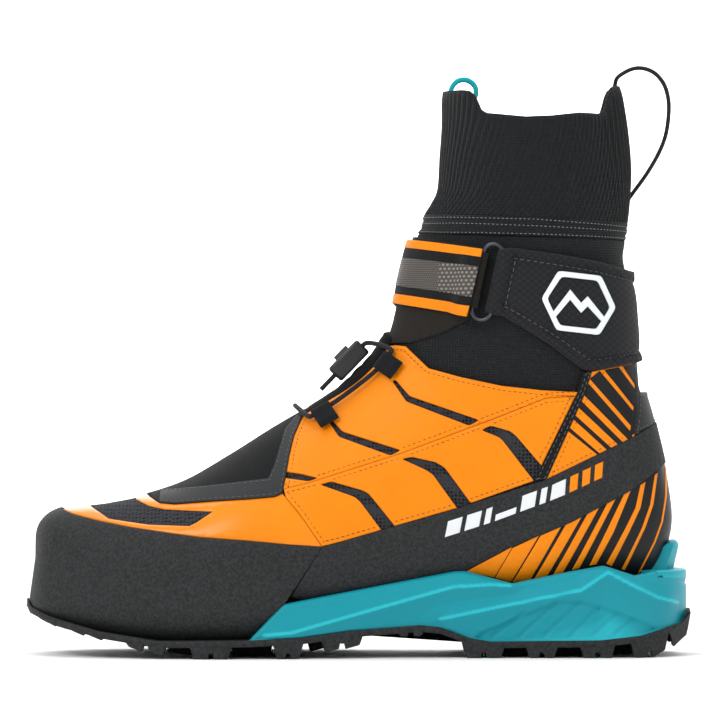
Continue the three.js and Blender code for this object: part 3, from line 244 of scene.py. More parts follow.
class SideView:
    """Finds where on the outer half of the foot, at a height above the sock, a point of the
    side view lies."""

    def __init__(self, rubber, level):
        self.rubber, self.level = rubber, level
        self.s, self.u = np.meshgrid(np.linspace(0, LAST, LAST * 16 + 1), np.linspace(0, 0.5, 121),
                                     indexing="ij")
        spots = self.seen(self.s, self.u)
        self.tree = KDTree(self.s.size)
        for i, p in enumerate(spots.reshape(-1, 2)):
            self.tree.insert((p[0], p[1], 0), i)
        self.tree.balance()

    def seen(self, s, u):
        return (foot(s, u, self.rubber) + outward(s, u, self.rubber) * self.level)[..., [0, 2]]

    def find(self, points):
        points = np.asarray(points, float)
        nearest = [self.tree.find((x, z, 0))[1] for x, z in points]
        s, u = self.s.ravel()[nearest], self.u.ravel()[nearest]
        for _ in range(6):
            here = self.seen(s, u)
            ds = (self.seen(s + 0.01, u) - here) / 0.01
            du = (self.seen(s, u + 0.001) - here) / 0.001
            miss = points - here
            a = (ds * ds).sum(1) + 1e-3
            b = (ds * du).sum(1)
            c = (du * du).sum(1) + 20.0
            e, f = (ds * miss).sum(1), (du * miss).sum(1)
            det = a * c - b * b
            s = np.clip(s + np.clip((c * e - b * f) / det, -0.06, 0.06), 0, LAST)
            u = np.clip(u + np.clip((a * f - b * e) / det, -0.004, 0.004), 0, 0.5)
        return np.stack([s, u], 1)


SIDE_VIEWS = {}


def find(points, rubber=False, level=2.7):
    if (rubber, level) not in SIDE_VIEWS:
        SIDE_VIEWS[rubber, level] = SideView(rubber, level)
    return SIDE_VIEWS[rubber, level].find(points)


def rounded(points, step=1.2, closed=False, smooth=False):
    """A side-view line with a point at least every step, in mm, curved through its points on request."""
    points = np.asarray(points, float)
    if smooth:
        padded = np.vstack([points[-1:] if closed else 2 * points[:1] - points[1:2], points,
                            points[:2] if closed else 2 * points[-1:] - points[-2:-1]])
        spans = len(points) if closed else len(points) - 1
        dense = []
        for i in range(spans):
            p0, p1, p2, p3 = padded[i], padded[i + 1], padded[i + 2], padded[i + 3]
            t = np.linspace(0, 1, 9)[:-1, None]
            dense.append(0.5 * (2 * p1 + (p2 - p0) * t + (2 * p0 - 5 * p1 + 4 * p2 - p3) * t ** 2
                                + (3 * p1 - p0 - 3 * p2 + p3) * t ** 3))
        points = np.vstack(dense + ([] if closed else [points[-1:]]))
    out = []
    ends = np.vstack([points, points[:1]]) if closed else points
    for a, b in zip(ends[:-1], ends[1:]):
        n = max(1, int(math.ceil(np.linalg.norm(b - a) / step)))
        out += [a + (b - a) * k / n for k in range(n)]
    if not closed:
        out.append(ends[-1])
    return np.array(out)


def trace(points, rubber=False, smooth=False, step=1.2, level=2.7, start=None, end=None):
    """A side-view line laid on the outer side of the foot, as stations and side positions.
    start and end set the side position at the line's ends: 0 on the ridge, 0.5 at the heel."""
    line = find(rounded(points, step, smooth=smooth), rubber, level)
    if start is not None:
        line[0, 1] = start
    if end is not None:
        line[-1, 1] = end
    return line


def loop_of(points, side="outer", rubber=False, step=1.2, level=2.7):
    """A closed side-view outline laid on one side of the foot."""
    found = find(rounded(points, step, closed=True), rubber, level)
    return found if side == "outer" else found * [1, -1]


def over_top(outer_line):
    """Closes a line on the outer side with its mirror image over the instep."""
    return np.vstack([outer_line, outer_line[::-1] * [1, -1]])


def round_heel(upper_line, lower_line):
    """Joins two lines that run back to the heel with their mirror images round it."""
    far_up = np.vstack([upper_line, (upper_line * [1, -1] + [0, 1])[::-1]])
    far_low = np.vstack([lower_line, (lower_line * [1, -1] + [0, 1])[::-1]])
    return np.vstack([far_up, far_low[::-1]])


GRID_S, GRID_U = 1 / 7, 1 / 110  # spacing of a panel's inner points: about 2 mm


def tidy_loop(loop):
    keep = [loop[0]]
    for p in loop[1:]:
        if abs(p[0] - keep[-1][0]) / GRID_S + abs(p[1] - keep[-1][1]) / GRID_U > 0.08:
            keep.append(p)
    while abs(keep[0][0] - keep[-1][0]) / GRID_S + abs(keep[0][1] - keep[-1][1]) / GRID_U < 0.08:
        keep.pop()
    return np.array(keep)


def inside(points, loop):
    x, y = points[:, 0:1], points[:, 1:2]
    a, b = loop, np.roll(loop, -1, 0)
    crosses = (a[:, 1] > y) != (b[:, 1] > y)
    with np.errstate(divide="ignore", invalid="ignore"):
        at = a[:, 0] + (y - a[:, 1]) * (b[:, 0] - a[:, 0]) / (b[:, 1] - a[:, 1])
    return (crosses & (x < at)).sum(1) % 2 == 1


def turned_in(loop, distance, rubber=False, inwards=True):
    """The outline moved over the foot's surface by a distance in mm."""
    s, u = loop[:, 0], loop[:, 1]
    base = foot(s, u, rubber)
    ds = (foot(np.clip(s + 0.01, 0, LAST), u, rubber) - foot(np.clip(s - 0.01, 0, LAST), u, rubber)) / 0.02
    du = (foot(s, u + 0.001, rubber) - foot(s, u - 0.001, rubber)) / 0.002
    n = outward(s, u, rubber)
    area = (loop[:, 0] * np.roll(loop[:, 1], -1) - np.roll(loop[:, 0], -1) * loop[:, 1]).sum()
    sign = (1 if area > 0 else -1) * (1 if inwards else -1)
    edge = np.roll(base, -1, 0) - base
    edge /= np.maximum(np.linalg.norm(edge, axis=1, keepdims=True), 1e-9)
    after = np.cross(n, edge)
    before = np.roll(after, 1, 0)
    mean = (after + before) / np.maximum(1 + (after * before).sum(1, keepdims=True), 0.6)
    move = -mean * distance * sign
    a, b, c = (ds * ds).sum(1) + 1e-6, (ds * du).sum(1), (du * du).sum(1) + 1e-6
    e, f = (ds * move).sum(1), (du * move).sum(1)
    det = np.maximum(a * c - b * b, 1e-6)
    return loop + np.stack([(c * e - b * f) / det, (a * f - b * e) / det], 1)


def panel(name, loop, low, high, material, holes=(), rubber=False, edge=0.5, crown=0.0, crown_width=6.0,
          relief=None, lift=None, fine=1.0):
    """A closed sheet on the foot between two heights, with a rolled edge, from its outline.
    relief takes points, s, u and the distance from the edge, and gives what the outside rises by
    in mm. lift takes points and gives what both sides rise by."""
    loop = tidy_loop(loop)
    holes = [tidy_loop(h) for h in holes]
    scale = np.array([GRID_S, GRID_U])
    step = scale * fine
    lo, hi = loop.min(0), loop.max(0)
    s_line = np.arange(math.ceil(lo[0] / step[0]), hi[0] / step[0]) * step[0]
    u_line = np.arange(math.ceil(lo[1] / step[1]), hi[1] / step[1]) * step[1]
    grid = np.stack(np.meshgrid(s_line, u_line, indexing="ij"), -1).reshape(-1, 2)
    keep = inside(grid, loop) if len(grid) else np.zeros(0, bool)
    for h in holes:
        keep &= ~inside(grid, h)
    grid = grid[keep]
    rims = [loop] + holes
    rim_points = np.vstack([foot(r[:, 0], r[:, 1], rubber) for r in rims])
    tree = KDTree(len(rim_points))
    for i, p in enumerate(rim_points):
        tree.insert(p, i)
    tree.balance()

    def from_edge(q):
        spots = foot(q[:, 0], q[:, 1], rubber)
        return np.array([tree.find(p)[2] for p in spots])

    if len(grid):
        away = from_edge(grid)
        grid = grid[away > edge + 0.7]
    points, bounds, drops, edges = [], [], [], []
    count = 0
    for k, r in enumerate(rims):
        for ring, (share, drop) in enumerate(((0, 1.0), (0.3, 0.3), (1.0, 0.0))):
            line = r if ring == 0 else turned_in(r, edge * share, rubber, inwards=(k == 0))
            points.append(line)
            drops.append(np.full(len(line), drop * edge))
            if ring == 0:
                index = np.arange(len(line)) + count
                edges += list(zip(index, np.roll(index, -1)))
                bounds.append(index)
            count += len(line)
    points.append(grid)
    drops.append(np.zeros(len(grid)))
    q, drop = np.vstack(points), np.concatenate(drops)
    flat = q / scale
    verts2, _, tris, origin, _, _ = delaunay_2d_cdt([Vector(p) for p in flat],
                                                    [tuple(map(int, e)) for e in edges], [], 0, 1e-5)
    source = [o[0] if len(o) else -1 for o in origin]
    q2 = np.array([(v.x, v.y) for v in verts2]) * scale
    drop2 = np.array([drop[o] if o >= 0 else edge for o in source])
    middle = np.array([(q2[a] + q2[b] + q2[c]) / 3 for a, b, c in tris])
    good = inside(middle, loop)
    for h in holes:
        good &= ~inside(middle, h)
    tris = [t for t, g in zip(tris, good) if g]
    away2 = from_edge(q2)
    height = high - drop2
    if crown:
        height = height + crown * (1 - np.exp(-away2 / crown_width))
    if relief:
        spots = foot(q2[:, 0], q2[:, 1], rubber)
        height = height + relief(spots, q2[:, 0], q2[:, 1], away2)
    rise = lift(foot(q2[:, 0], q2[:, 1], rubber)) if lift else 0.0
    top = on_foot(q2[:, 0], q2[:, 1], height + rise, rubber)
    bottom = on_foot(q2[:, 0], q2[:, 1], np.full(len(q2), low) + rise, rubber)
    tri = np.array(tris)
    normals = np.cross(top[tri[:, 1]] - top[tri[:, 0]], top[tri[:, 2]] - top[tri[:, 0]])
    out = outward(q2[tri[:, 0], 0], q2[tri[:, 0], 1], rubber)
    if (normals * out).sum() < 0:
        tri = tri[:, ::-1]
    n = len(q2)
    faces = [tuple(map(int, t)) for t in tri] + [tuple(int(v) + n for v in t[::-1]) for t in tri]
    seen = set()
    for t in tri:
        for a, b in ((t[0], t[1]), (t[1], t[2]), (t[2], t[0])):
            seen.add((int(a), int(b)))
    faces += [(b, a, a + n, b + n) for a, b in seen if (b, a) not in seen]
    used = sorted({v for f in faces for v in f})
    renumber = {v: i for i, v in enumerate(used)}
    both = np.vstack([top, bottom])[used]
    piece = mesh_object(name, both, [tuple(renumber[v] for v in f) for f in faces], material)
    flat_map = np.stack([q2[:, 1] * 250.0, foot(q2[:, 0], q2[:, 1], rubber)[:, 2]], 1)
    flat_map = np.vstack([flat_map, flat_map])[used]
    corners = np.empty(len(piece.data.loops), int)
    piece.data.loops.foreach_get("vertex_index", corners)
    piece.data.uv_layers.new(name="cloth").data.foreach_set("uv", flat_map[corners].ravel())
    return piece


def strip_between(name, rows, columns, place, material):
    """A closed band from a function of two grids in 0..1, the first up it and the second round it.
    place(v, w, side) gives points in the boot's frame, outside for side 1 and inside for 0."""
    v = np.linspace(0, 1, rows + 1)
    w = np.linspace(0, 1, columns, endpoint=False)
    vv, ww = np.meshgrid(v, w, indexing="ij")
    out, back = place(vv, ww, 1), place(vv, ww, 0)
    across = len(w)
    n = out.shape[0] * across
    faces = []
    for i in range(rows):
        for j in range(across):
            a, b = i * across + j, i * across + (j + 1) % across
            c, d = b + across, a + across
            faces.append((a, b, c, d))
            faces.append((a + n, d + n, c + n, b + n))
    for j in range(across):
        a, b = j, (j + 1) % across
        faces.append((a, a + n, b + n, b))
        a, b = rows * across + j, rows * across + (j + 1) % across
        faces.append((a, b, b + n, a + n))
    points = np.vstack([out.reshape(-1, 3), back.reshape(-1, 3)])
    first = faces[0]
    normal = np.cross(points[first[1]] - points[first[0]], points[first[2]] - points[first[0]])
    if np.dot(normal, points[first[0]] - points[first[0] + n]) < 0:
        faces = [f[::-1] for f in faces]
    return mesh_object(name, points, faces, material)


def height_line(line, u):
    """Station of each side position u at which the foot crosses a line of the side view."""
    xs, zs = np.array(line, float).T
    low, high = np.full(u.shape, 12.0), np.full(u.shape, float(LAST))
    for _ in range(24):
        mid = (low + high) / 2
        p = foot(mid, u)
        above = p[..., 2] > np.interp(p[..., 0], xs, zs)
        high = np.where(above, mid, high)
        low = np.where(above, low, mid)
    return (low + high) / 2


SEAM_LOW = [(-10, 194), (30, 192.5), (123, 189.5), (150, 188.5)]
SEAM_HIGH = [(-10, 202.5), (30, 201), (123, 197.5), (150, 196.5)]
CUFF_TOP = [(20, 257.5), (47, 257.5), (50, 257), (52.5, 255), (54.2, 251.5), (55.5, 248.3), (58, 246.8),
            (66, 246), (76, 245), (88, 245.5), (101, 247), (110, 246.6), (112.6, 248.3), (113.8, 252),
            (114.8, 256), (116, 258.8), (118, 260), (140, 260)]


def maths(tree, operation, *values):
    return add_node(tree, "ShaderNodeMath", dict(enumerate(values)), operation=operation)


def between(tree, share, low, high):
    """A socket with the colour that lies between two colours."""
    return add_node(tree, "ShaderNodeMix", {0: share, 6: low, 7: high}, data_type="RGBA").outputs[2]


def pattern(tree, kind, scale, **inputs):
    """A Noise or Voronoi pattern on the piece's own coordinates, with its scale in 1/m."""
    where = add_node(tree, "ShaderNodeTexCoord")
    return add_node(tree, "ShaderNodeTex" + kind,
                    {"Vector": where.outputs["Object"], "Scale": scale, **inputs})


def surface(tree, shader, colour, height, strength, depth_mm):
    """Gives a shader its colour, from a socket or a hex code, and its relief."""
    if isinstance(colour, str):
        shader.inputs["Base Color"].default_value = linear(colour)
    else:
        tree.links.new(colour, shader.inputs["Base Color"])
    bump = add_node(tree, "ShaderNodeBump", {"Height": height, "Strength": strength,
                                             "Distance": depth_mm * MM})
    tree.links.new(bump.outputs[0], shader.inputs["Normal"])
    return bump


def knit_material(name, colour, light, stitch_mm, roughness=0.95):
    """Knitted polyamide yarn: columns of small v-shaped stitches, matt, with a soft sheen. Real
    stitches are about 1 mm; they are drawn a little larger so that they show."""
    material, tree, shader = blank_material(name)
    place = add_node(tree, "ShaderNodeUVMap", uv_map="cloth")
    turned = add_node(tree, "ShaderNodeMapping",
                      {"Vector": place, "Scale": (1 / stitch_mm, 1 / stitch_mm, 1)})
    split = add_node(tree, "ShaderNodeSeparateXYZ", {"Vector": turned})
    column = maths(tree, "PINGPONG", split.outputs[0], 0.5)
    slant = maths(tree, "ADD", column, split.outputs[1])
    wave = maths(tree, "SINE", maths(tree, "MULTIPLY", slant, 2 * math.pi))
    ridge = maths(tree, "MULTIPLY_ADD", wave, column, column)
    both = maths(tree, "ADD", ridge, pattern(tree, "Noise", 900.0, Detail=3.0))
    tone = add_node(tree, "ShaderNodeMapRange", {"Value": both, "From Min": 0.1, "From Max": 1.6})
    surface(tree, shader, between(tree, tone, linear(colour), linear(light)), both, 0.7, 0.35)
    shader.inputs["Roughness"].default_value = roughness
    shader.inputs["Specular IOR Level"].default_value = 0.14
    shader.inputs["Sheen Weight"].default_value = 0.08
    shader.inputs["Sheen Roughness"].default_value = 0.5
    return material


MAP_RADIUS = 42.0  # of the cylinder, in mm, that the knit's map is wound on


def cloth_uv(piece):
    """Lays a map in mm on a piece that follows the foot: round it and along it, by nearest point."""
    mesh = piece.data
    layer = mesh.uv_layers.new(name="cloth")
    count = len(mesh.vertices)
    co = np.empty(count * 3)
    mesh.vertices.foreach_get("co", co)
    p = co.reshape(-1, 3) / MM - SHIFT
    centre_x = np.interp(p[:, 2], [20, 60, 110, 150, 190, 270], [70, 85, 78, 75, 78, 79])
    angle = np.arctan2(-p[:, 1], p[:, 0] - centre_x)
    flat_side = np.stack([angle * MAP_RADIUS, p[:, 2]], 1)
    loops = np.empty(len(mesh.loops), int)
    mesh.loops.foreach_get("vertex_index", loops)
    layer.data.foreach_set("uv", flat_side[loops].ravel())


SOCK_KNIT = knit_material("knitted_polyamide_black", "#070808", "#2d2f31", 1.15)


def sock_part(name, low, high, inner, outer, columns, rows, material, relief=None):
    def place(v, w, side):
        s = height_line(low, w) * (1 - v) + height_line(high, w) * v
        height = np.full(v.shape, outer if side else inner)
        if relief is not None and side:
            height = height + relief(v, w, s)
        return on_foot(s, w, height)
    return strip_between(name, rows, columns, place, material)


def ankle_folds(v, w, s):
    """The sock gathers a little above the collar."""
    p = foot(s, w)
    ripple = 0.5 * np.sin(p[..., 2] * 0.45 + 1.5 * np.cos(2 * np.pi * w))
    return ripple * np.clip((p[..., 2] - 150) / 40, 0, 1)


def below_seam():
    """The foot and ankle of the sock, closed at the toe, open under the cuff band."""
    rings = np.linspace(0.0, 13, 79)
    columns = 120
    w = np.arange(columns) / columns
    top = height_line([(x, z - 0.3) for x, z in SEAM_LOW], w)
    parts = [foot(np.full(columns, s), w) + SHIFT for s in rings]
    for k in range(1, 61):
        s = 13 + (top - 13) * k / 60
        parts.append(on_foot(s, w, ankle_folds(None, w, s)))
    outer = np.array(parts)
    s_inner = [np.full(columns, s) for s in rings] + [13 + (top - 13) * k / 60 for k in range(1, 61)]
    inner = np.array([on_foot(s, w, np.full(columns, -1.5)) for s in s_inner])
    n = outer.shape[0] * columns
    faces = []
    for i in range(outer.shape[0] - 1):
        for j in range(columns):
            a, b = i * columns + j, i * columns + (j + 1) % columns
            c, d = b + columns, a + columns
            faces.append((a, b, c, d))
            faces.append((a + n, d + n, c + n, b + n))
    rim = (outer.shape[0] - 1) * columns
    for j in range(columns):
        a, b = rim + j, rim + (j + 1) % columns
        faces.append((a, b, b + n, a + n))
    piece = mesh_object("ankle_sock_knit", np.vstack([outer.reshape(-1, 3), inner.reshape(-1, 3)]), faces,
                        SOCK_KNIT)
    return face_out(piece, 2e-5)


def settle(piece, node, slot, body="boot"):
    """Gives a piece its body and hides the CAD node that it stands for, if any. slot is not used."""
    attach(piece, body)
    if node:
        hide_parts(node)
    return piece


sock = below_seam()
cloth_uv(sock)
settle(sock, "ankle_sock", "knit")


def seam_band_relief(v, w, s):
    """The band over the seam swells between two pressed lines."""
    swell = 0.35 * np.sin(np.pi * np.clip(v, 0, 1)) ** 0.5
    return swell - 0.35 * (np.abs(v - 0.28) < 0.05) - 0.35 * (np.abs(v - 0.72) < 0.05)


cuff_band = sock_part("cuff_band_knit", SEAM_LOW, SEAM_HIGH, -1.5, 0.55, 240, 16, SOCK_KNIT,
                      seam_band_relief)
cloth_uv(cuff_band)
settle(cuff_band, "cuff_band", "knit")

RIBS = 104


def rib_relief(v, w, s):
    """Ribs of the cuff: upright in front, leaning back further round."""
    lean = 0.065 * np.sin(np.pi * np.clip(np.abs(((w + 0.5) % 1) - 0.5) * 2, 0, 1)) * np.sign(0.5 - w)
    phase = (w - lean * v) * RIBS
    rib = np.abs(np.sin(np.pi * phase))
    rim = np.clip((1 - v) * 14, 0, 1) ** 0.5
    return 0.75 * rib ** 0.8 * rim - 0.2


cuff = sock_part("ribbed_cuff", SEAM_HIGH, CUFF_TOP, -1.5, 0.0, RIBS * 8, 30, SOCK_KNIT, rib_relief)
cloth_uv(cuff)
settle(cuff, "knit_cuff", "knit")

# ------------------------------------------------------------------ toe: rubber rand
# A rand of grained black rubber is glued round the toe over the orange film and runs down under
# the foot, ending in a slanted cut at the waist.

OVERLAY = (1.6, 2.7)
BAND = (1.6, 3.2)
RAND_TOP = [(-139.5, 67.8), (-137.5, 67.5), (-130, 65), (-117, 62), (-103.5, 59.5), (-85, 56.8),
            (-71.5, 55), (-49, 53.3), (-30.5, 51.5), (-16, 50.5)]
RAND_END = [(-16, 50.5), (-33, 24.5), (-48.5, 8.5)]
VAMP_SEAM = [(-34, 74.5), (-26, 65), (-16, 50.5)]


def rubber_material(name, colour, grain_mm, roughness=0.72, bump_mm=0.12):
    """Moulded rubber with a fine pebbled grain, matt, a little paler on the tops of the grain."""
    material, tree, shader = blank_material(name)
    cells = pattern(tree, "Voronoi", 1 / (grain_mm * MM))
    specks = pattern(tree, "Noise", 0.8 / (grain_mm * MM), Detail=3.0)
    tone = add_node(tree, "ShaderNodeMapRange",
                    {"Value": specks.outputs["Fac"], "From Min": 0.36, "From Max": 0.64})
    dark = tuple(c * 0.62 for c in linear(colour)[:3]) + (1.0,)
    pale = tuple(c * 1.3 for c in linear(colour)[:3]) + (1.0,)
    bump = surface(tree, shader, between(tree, tone, dark, pale), cells.outputs["Distance"], 0.9, bump_mm)
    bump.invert = True
    shader.inputs["Roughness"].default_value = roughness
    shader.inputs["Specular IOR Level"].default_value = 0.22
    return material


RAND_RUBBER = rubber_material("grained_rand_rubber", "#292a2b", 1.0, bump_mm=0.2)


def toe_rand():
    """A grid from the rand's top edge to under the sole. Columns run from the outer side round
    the tip to the inner side; near the tip the two sides meet on the ridge."""
    top_line = trace(RAND_TOP, True, level=3.6, step=0.8)
    end_line = trace(RAND_END, True, level=3.6, step=0.8)
    s_ridge = top_line[0, 0]
    s_end = end_line[:, 0].max()
    sigma = np.concatenate([np.linspace(0, 1, 26)[:-1], np.linspace(1, s_end, 110)])
    order = np.argsort(top_line[:, 0])
    u_top = np.interp(sigma, top_line[order, 0], top_line[order, 1])
    u_top[sigma <= s_ridge] = 0.0
    order = np.argsort(end_line[:, 1])
    s_limit = lambda u: np.interp(u, end_line[order, 1], end_line[order, 0])
    columns = np.concatenate([-sigma[::-1], sigma[1:]])
    tops = np.concatenate([u_top[::-1], u_top[1:]])
    v = np.concatenate([[0, 0.0, 0.25, 0.6], np.linspace(1.0, 46, 40)]) / 46
    drop = np.concatenate([[2.0, 0.6, 0.2, 0.05], np.zeros(40)])
    outer, inner = [], []
    for k, share in enumerate(v):
        u = tops + (0.47 - tops) * share
        s = np.minimum(np.abs(columns), s_limit(u))
        dip = np.where(np.abs(columns) > s_ridge, drop[k], 0.0)
        flush = 0.4 * np.clip((s - s_limit(u)) / 1.2 + 1, 0, 1)
        signed = u * np.where(columns < 0, -1, 1)
        outer.append(on_foot(s, signed, 3.6 - dip - flush, True))
        inner.append(on_foot(s, signed, np.full(len(s), 1.6), True))
    outer, inner = np.array(outer), np.array(inner)
    rows, across = outer.shape[:2]
    n = rows * across
    faces = []
    for i in range(rows - 1):
        for j in range(across - 1):
            a, b = i * across + j, i * across + j + 1
            faces.append((a, b, b + across, a + across))
            faces.append((a + n, a + across + n, b + across + n, b + n))
    for j in range(across - 1):
        if abs(columns[j]) > s_ridge or abs(columns[j + 1]) > s_ridge:
            faces.append((j, j + n, j + 1 + n, j + 1))
        a, b = (rows - 1) * across + j, (rows - 1) * across + j + 1
        faces.append((a, b, b + n, a + n))
    for i in range(rows - 1):
        a, b = i * across, (i + 1) * across
        faces.append((a, b, b + n, a + n))
        a, b = a + across - 1, b + across - 1
        faces.append((a, a + n, b + n, b))
    piece = mesh_object("toe_rand_rubber", np.vstack([outer.reshape(-1, 3), inner.reshape(-1, 3)]), faces,
                        RAND_RUBBER)
    return face_out(piece, 3e-5)


settle(toe_rand(), "toe_rand", "rand_rubber")

# ------------------------------------------------------------------ toe: orange cap and knit window
# The cap is one sheet of microfibre under a glossy orange film, moulded over the toes, with a
# window of black knit across the toes that lets the foot bend.

COVER_BOTTOM = [(-97, 74), (-90, 70), (-83, 69.5), (-65, 71), (-49, 72), (-37.5, 73), (-34, 74.5)]
KNIT_WINDOW = [(-122.5, 72), (-122.5, 68.5), (-117, 65.5), (-113, 63), (-94.5, 60.5), (-76, 60),
               (-73, 61.5), (-65.5, 66.5), (-87.5, 67.5), (-95, 69), (-102, 72)]


def film_material(name, colour, roughness, coat=0.0, grain_mm=0.45, bump_mm=0.015, patch=0.08):
    """Polyurethane film on microfibre: even colour, faint leather grain and slow changes of gloss."""
    material, tree, shader = blank_material(name)
    cells = pattern(tree, "Voronoi", 1 / (grain_mm * MM))
    clouds = pattern(tree, "Noise", 45.0, Detail=3.0)
    tone = add_node(tree, "ShaderNodeMapRange",
                    {"Value": clouds.outputs["Fac"], "From Min": 0.3, "From Max": 0.7})
    base = linear(colour)
    dark = tuple(c * (1 - patch) for c in base[:3]) + (1.0,)
    surface(tree, shader, between(tree, tone, dark, base), cells.outputs["Distance"], 0.6, bump_mm)
    gloss = add_node(tree, "ShaderNodeMapRange",
                     {"Value": clouds.outputs["Fac"], "To Min": roughness - 0.06,
                                                  "To Max": roughness + 0.06})
    tree.links.new(gloss.outputs[0], shader.inputs["Roughness"])
    shader.inputs["Specular IOR Level"].default_value = 0.2
    shader.inputs["Coat Weight"].default_value = coat
    shader.inputs["Coat Roughness"].default_value = 0.25
    return material


def mesh_cloth_material(name, colour, light, hole_mm=1.7):
    """Warp-knit mesh of polyester: a net of small holes over a darker lining."""
    material, tree, shader = blank_material(name)
    holes = pattern(tree, "Voronoi", 1 / (hole_mm * MM), Randomness=0.25)
    depth = add_node(tree, "ShaderNodeMapRange",
                     {"Value": holes.outputs["Distance"], "From Min": 0.15, "From Max": 0.5})
    surface(tree, shader, between(tree, depth, linear(colour), linear(light)), depth, 0.9, 0.3)
    shader.inputs["Roughness"].default_value = 0.9
    shader.inputs["Specular IOR Level"].default_value = 0.14
    return material


GLOSSY_ORANGE = film_material("glossy_orange_film", "#f08600", 0.3, coat=0.3)
ORANGE_FILM = film_material("orange_film_on_microfibre", "#ee8500", 0.5, grain_mm=1.7, bump_mm=0.14)
MESH_CLOTH = mesh_cloth_material("black_mesh_cloth", "#090a0b", "#34363a")

ridge_front = find([(-137.8, 67.6)])[0, 0]
cap_line = np.vstack([
    [[ridge_front + 0.1, 0]],
    trace(RAND_TOP, False, step=1.0)[2:],
    trace(VAMP_SEAM[::-1], step=1.0)[1:],
    trace(COVER_BOTTOM[::-1], step=1.0, end=0)[1:],
])
window_loop = tidy_loop(over_top(trace(KNIT_WINDOW, step=0.8, start=0, end=0)))


def window_bead(spots, s, u, away):
    """The film is pressed flat near its edges and swells very slightly between them."""
    return 0.25 * (1 - np.exp(-away / 4)) - 0.25


cap = panel("orange_toe_cap", over_top(cap_line), *OVERLAY, GLOSSY_ORANGE,
            holes=[window_loop], edge=0.35, relief=window_bead)
settle(cap, "toe_cap", "orange_film")
settle(panel("toe_knit_window", turned_in(window_loop, -0.6), 0.3, 2.0, MESH_CLOTH, edge=0.2),
       "toe_knit", "mesh_cloth")

# ------------------------------------------------------------------ instep cover
# A tough woven cover keeps snow off the laces and the tongue below them; its edge is sealed on each
# side with a welded tape.

COVER_BACK = [(-34, 74.5), (-32.5, 82.5), (-31, 91.5), (-29, 100), (-26, 107), (-23, 112)]
BORDER_INNER = [(-90, 75), (-71.5, 77), (-40.5, 81), (-38, 86.5), (-33, 103), (-28, 109)]


def woven_material(name, colour, light, yarn_mm=0.8, roughness=0.88, sheen=0.05):
    """Plain weave of textured polyamide yarn."""
    material, tree, shader = blank_material(name)
    where = add_node(tree, "ShaderNodeTexCoord")
    parts = add_node(tree, "ShaderNodeSeparateXYZ", {"Vector": where.outputs["Object"]})
    waves = []
    for joined, lean in (("ADD", 0.8), ("SUBTRACT", -0.8)):
        total = maths(tree, joined, parts.outputs[0], parts.outputs[2])
        slant = maths(tree, "MULTIPLY_ADD", parts.outputs[1], lean, total)
        turns = maths(tree, "MULTIPLY", slant, 2 * math.pi / (yarn_mm * 2 * MM))
        waves.append(maths(tree, "SINE", turns))
    cross = maths(tree, "MULTIPLY", *waves)
    height = add_node(tree, "ShaderNodeMapRange", {"Value": cross, "From Min": -1.0, "From Max": 1.0})
    surface(tree, shader, between(tree, height, linear(colour), linear(light)), height, 0.7, 0.2)
    shader.inputs["Roughness"].default_value = roughness
    shader.inputs["Specular IOR Level"].default_value = 0.14
    shader.inputs["Sheen Weight"].default_value = sheen
    return material


BLACK_WEAVE = woven_material("black_woven_polyamide", "#0b0c0d", "#1c1d1f")
GREY_TAPE = film_material("welded_grey_tape", "#2c2d2e", 0.55)
cover_line = np.vstack([
    trace(COVER_BOTTOM, step=1.2, start=0),
    trace(COVER_BACK, step=1.2, end=0)[1:],
])
settle(panel("instep_cover_cloth", over_top(cover_line), *OVERLAY, BLACK_WEAVE, edge=0.35, crown=0.3),
       "instep_cover", "black_cloth")
border = COVER_BOTTOM[1:] + COVER_BACK[1:-1] + [(-23.5, 111.5)] + BORDER_INNER[::-1]
for side in SIDES:
    tape = panel("cover_border_tape_" + side, loop_of(border, side, step=0.9), 2.6, 3.25, GREY_TAPE,
                 edge=0.3, fine=0.7)
    settle(tape, "cover_border_" + side, "grey_film")

# ------------------------------------------------------------------ mesh shell and tongue
# Black mesh lies under all the orange panels and shows in their slots; it is open over the
# instep, where a padded tongue fills the gap.

FEATHER = [(-149, 40), (-139, 33.5), (-116, 27.5), (-76, 23.5), (-22, 25), (40, 31), (75, 33), (106, 33.5),
           (131, 37), (149, 46)]
QUARTER_TOP = [(12, 141), (17, 141.5), (21.5, 141), (32, 131), (46.5, 127), (65, 123), (83, 121),
               (99.6, 120.2)]
THROAT = 9


def throat_line(line, start_at):
    """The line of the quarter beside the throat, on the outer side, at a distance from the middle."""
    s = np.arange(line[0], line[1], 0.08 if line[1] > line[0] else -0.08)
    u = np.empty(len(s))
    for i, station in enumerate(s):
        trial = np.linspace(0, 0.15, 61)
        y = foot(np.full(61, station), trial)[:, 1]
        u[i] = np.interp(start_at, -y, trial)
    return np.stack([s, u], 1)


s_vamp = find([(-23, 112)])[0, 0]
s_neck = find([(12, 141)])[0, 0]
throat_up = throat_line((s_vamp, s_neck), THROAT)
shell_line = np.vstack([
    throat_up,
    trace(QUARTER_TOP, step=1.5)[2:],
    trace([(99.6, 120.2), (104, 119), (127, 119.5), (136, 120)], step=1.5, end=0.5)[1:],
])
shell_bottom = np.vstack([
    trace([(-30, 60), (-29, 40), (-22, 28)], step=1.5),
    trace([p for p in FEATHER if -22 < p[0] < 132] + [(141, 44)], step=1.5, end=0.5),
])
shell_front = trace(COVER_BACK[::-1], step=1.5)[1:]
half = np.vstack([shell_line, shell_bottom[::-1], trace([(-30, 60), (-33, 74)], step=1.5)[1:-1],
                  shell_front[::-1]])
for side in SIDES:
    shell = panel("mesh_shell_" + side, half if side == "outer" else half * [1, -1], 0.3, 1.3, MESH_CLOTH,
                  edge=0.2)
    settle(shell, "mesh_shell" if side == "outer" else None, "mesh_cloth")


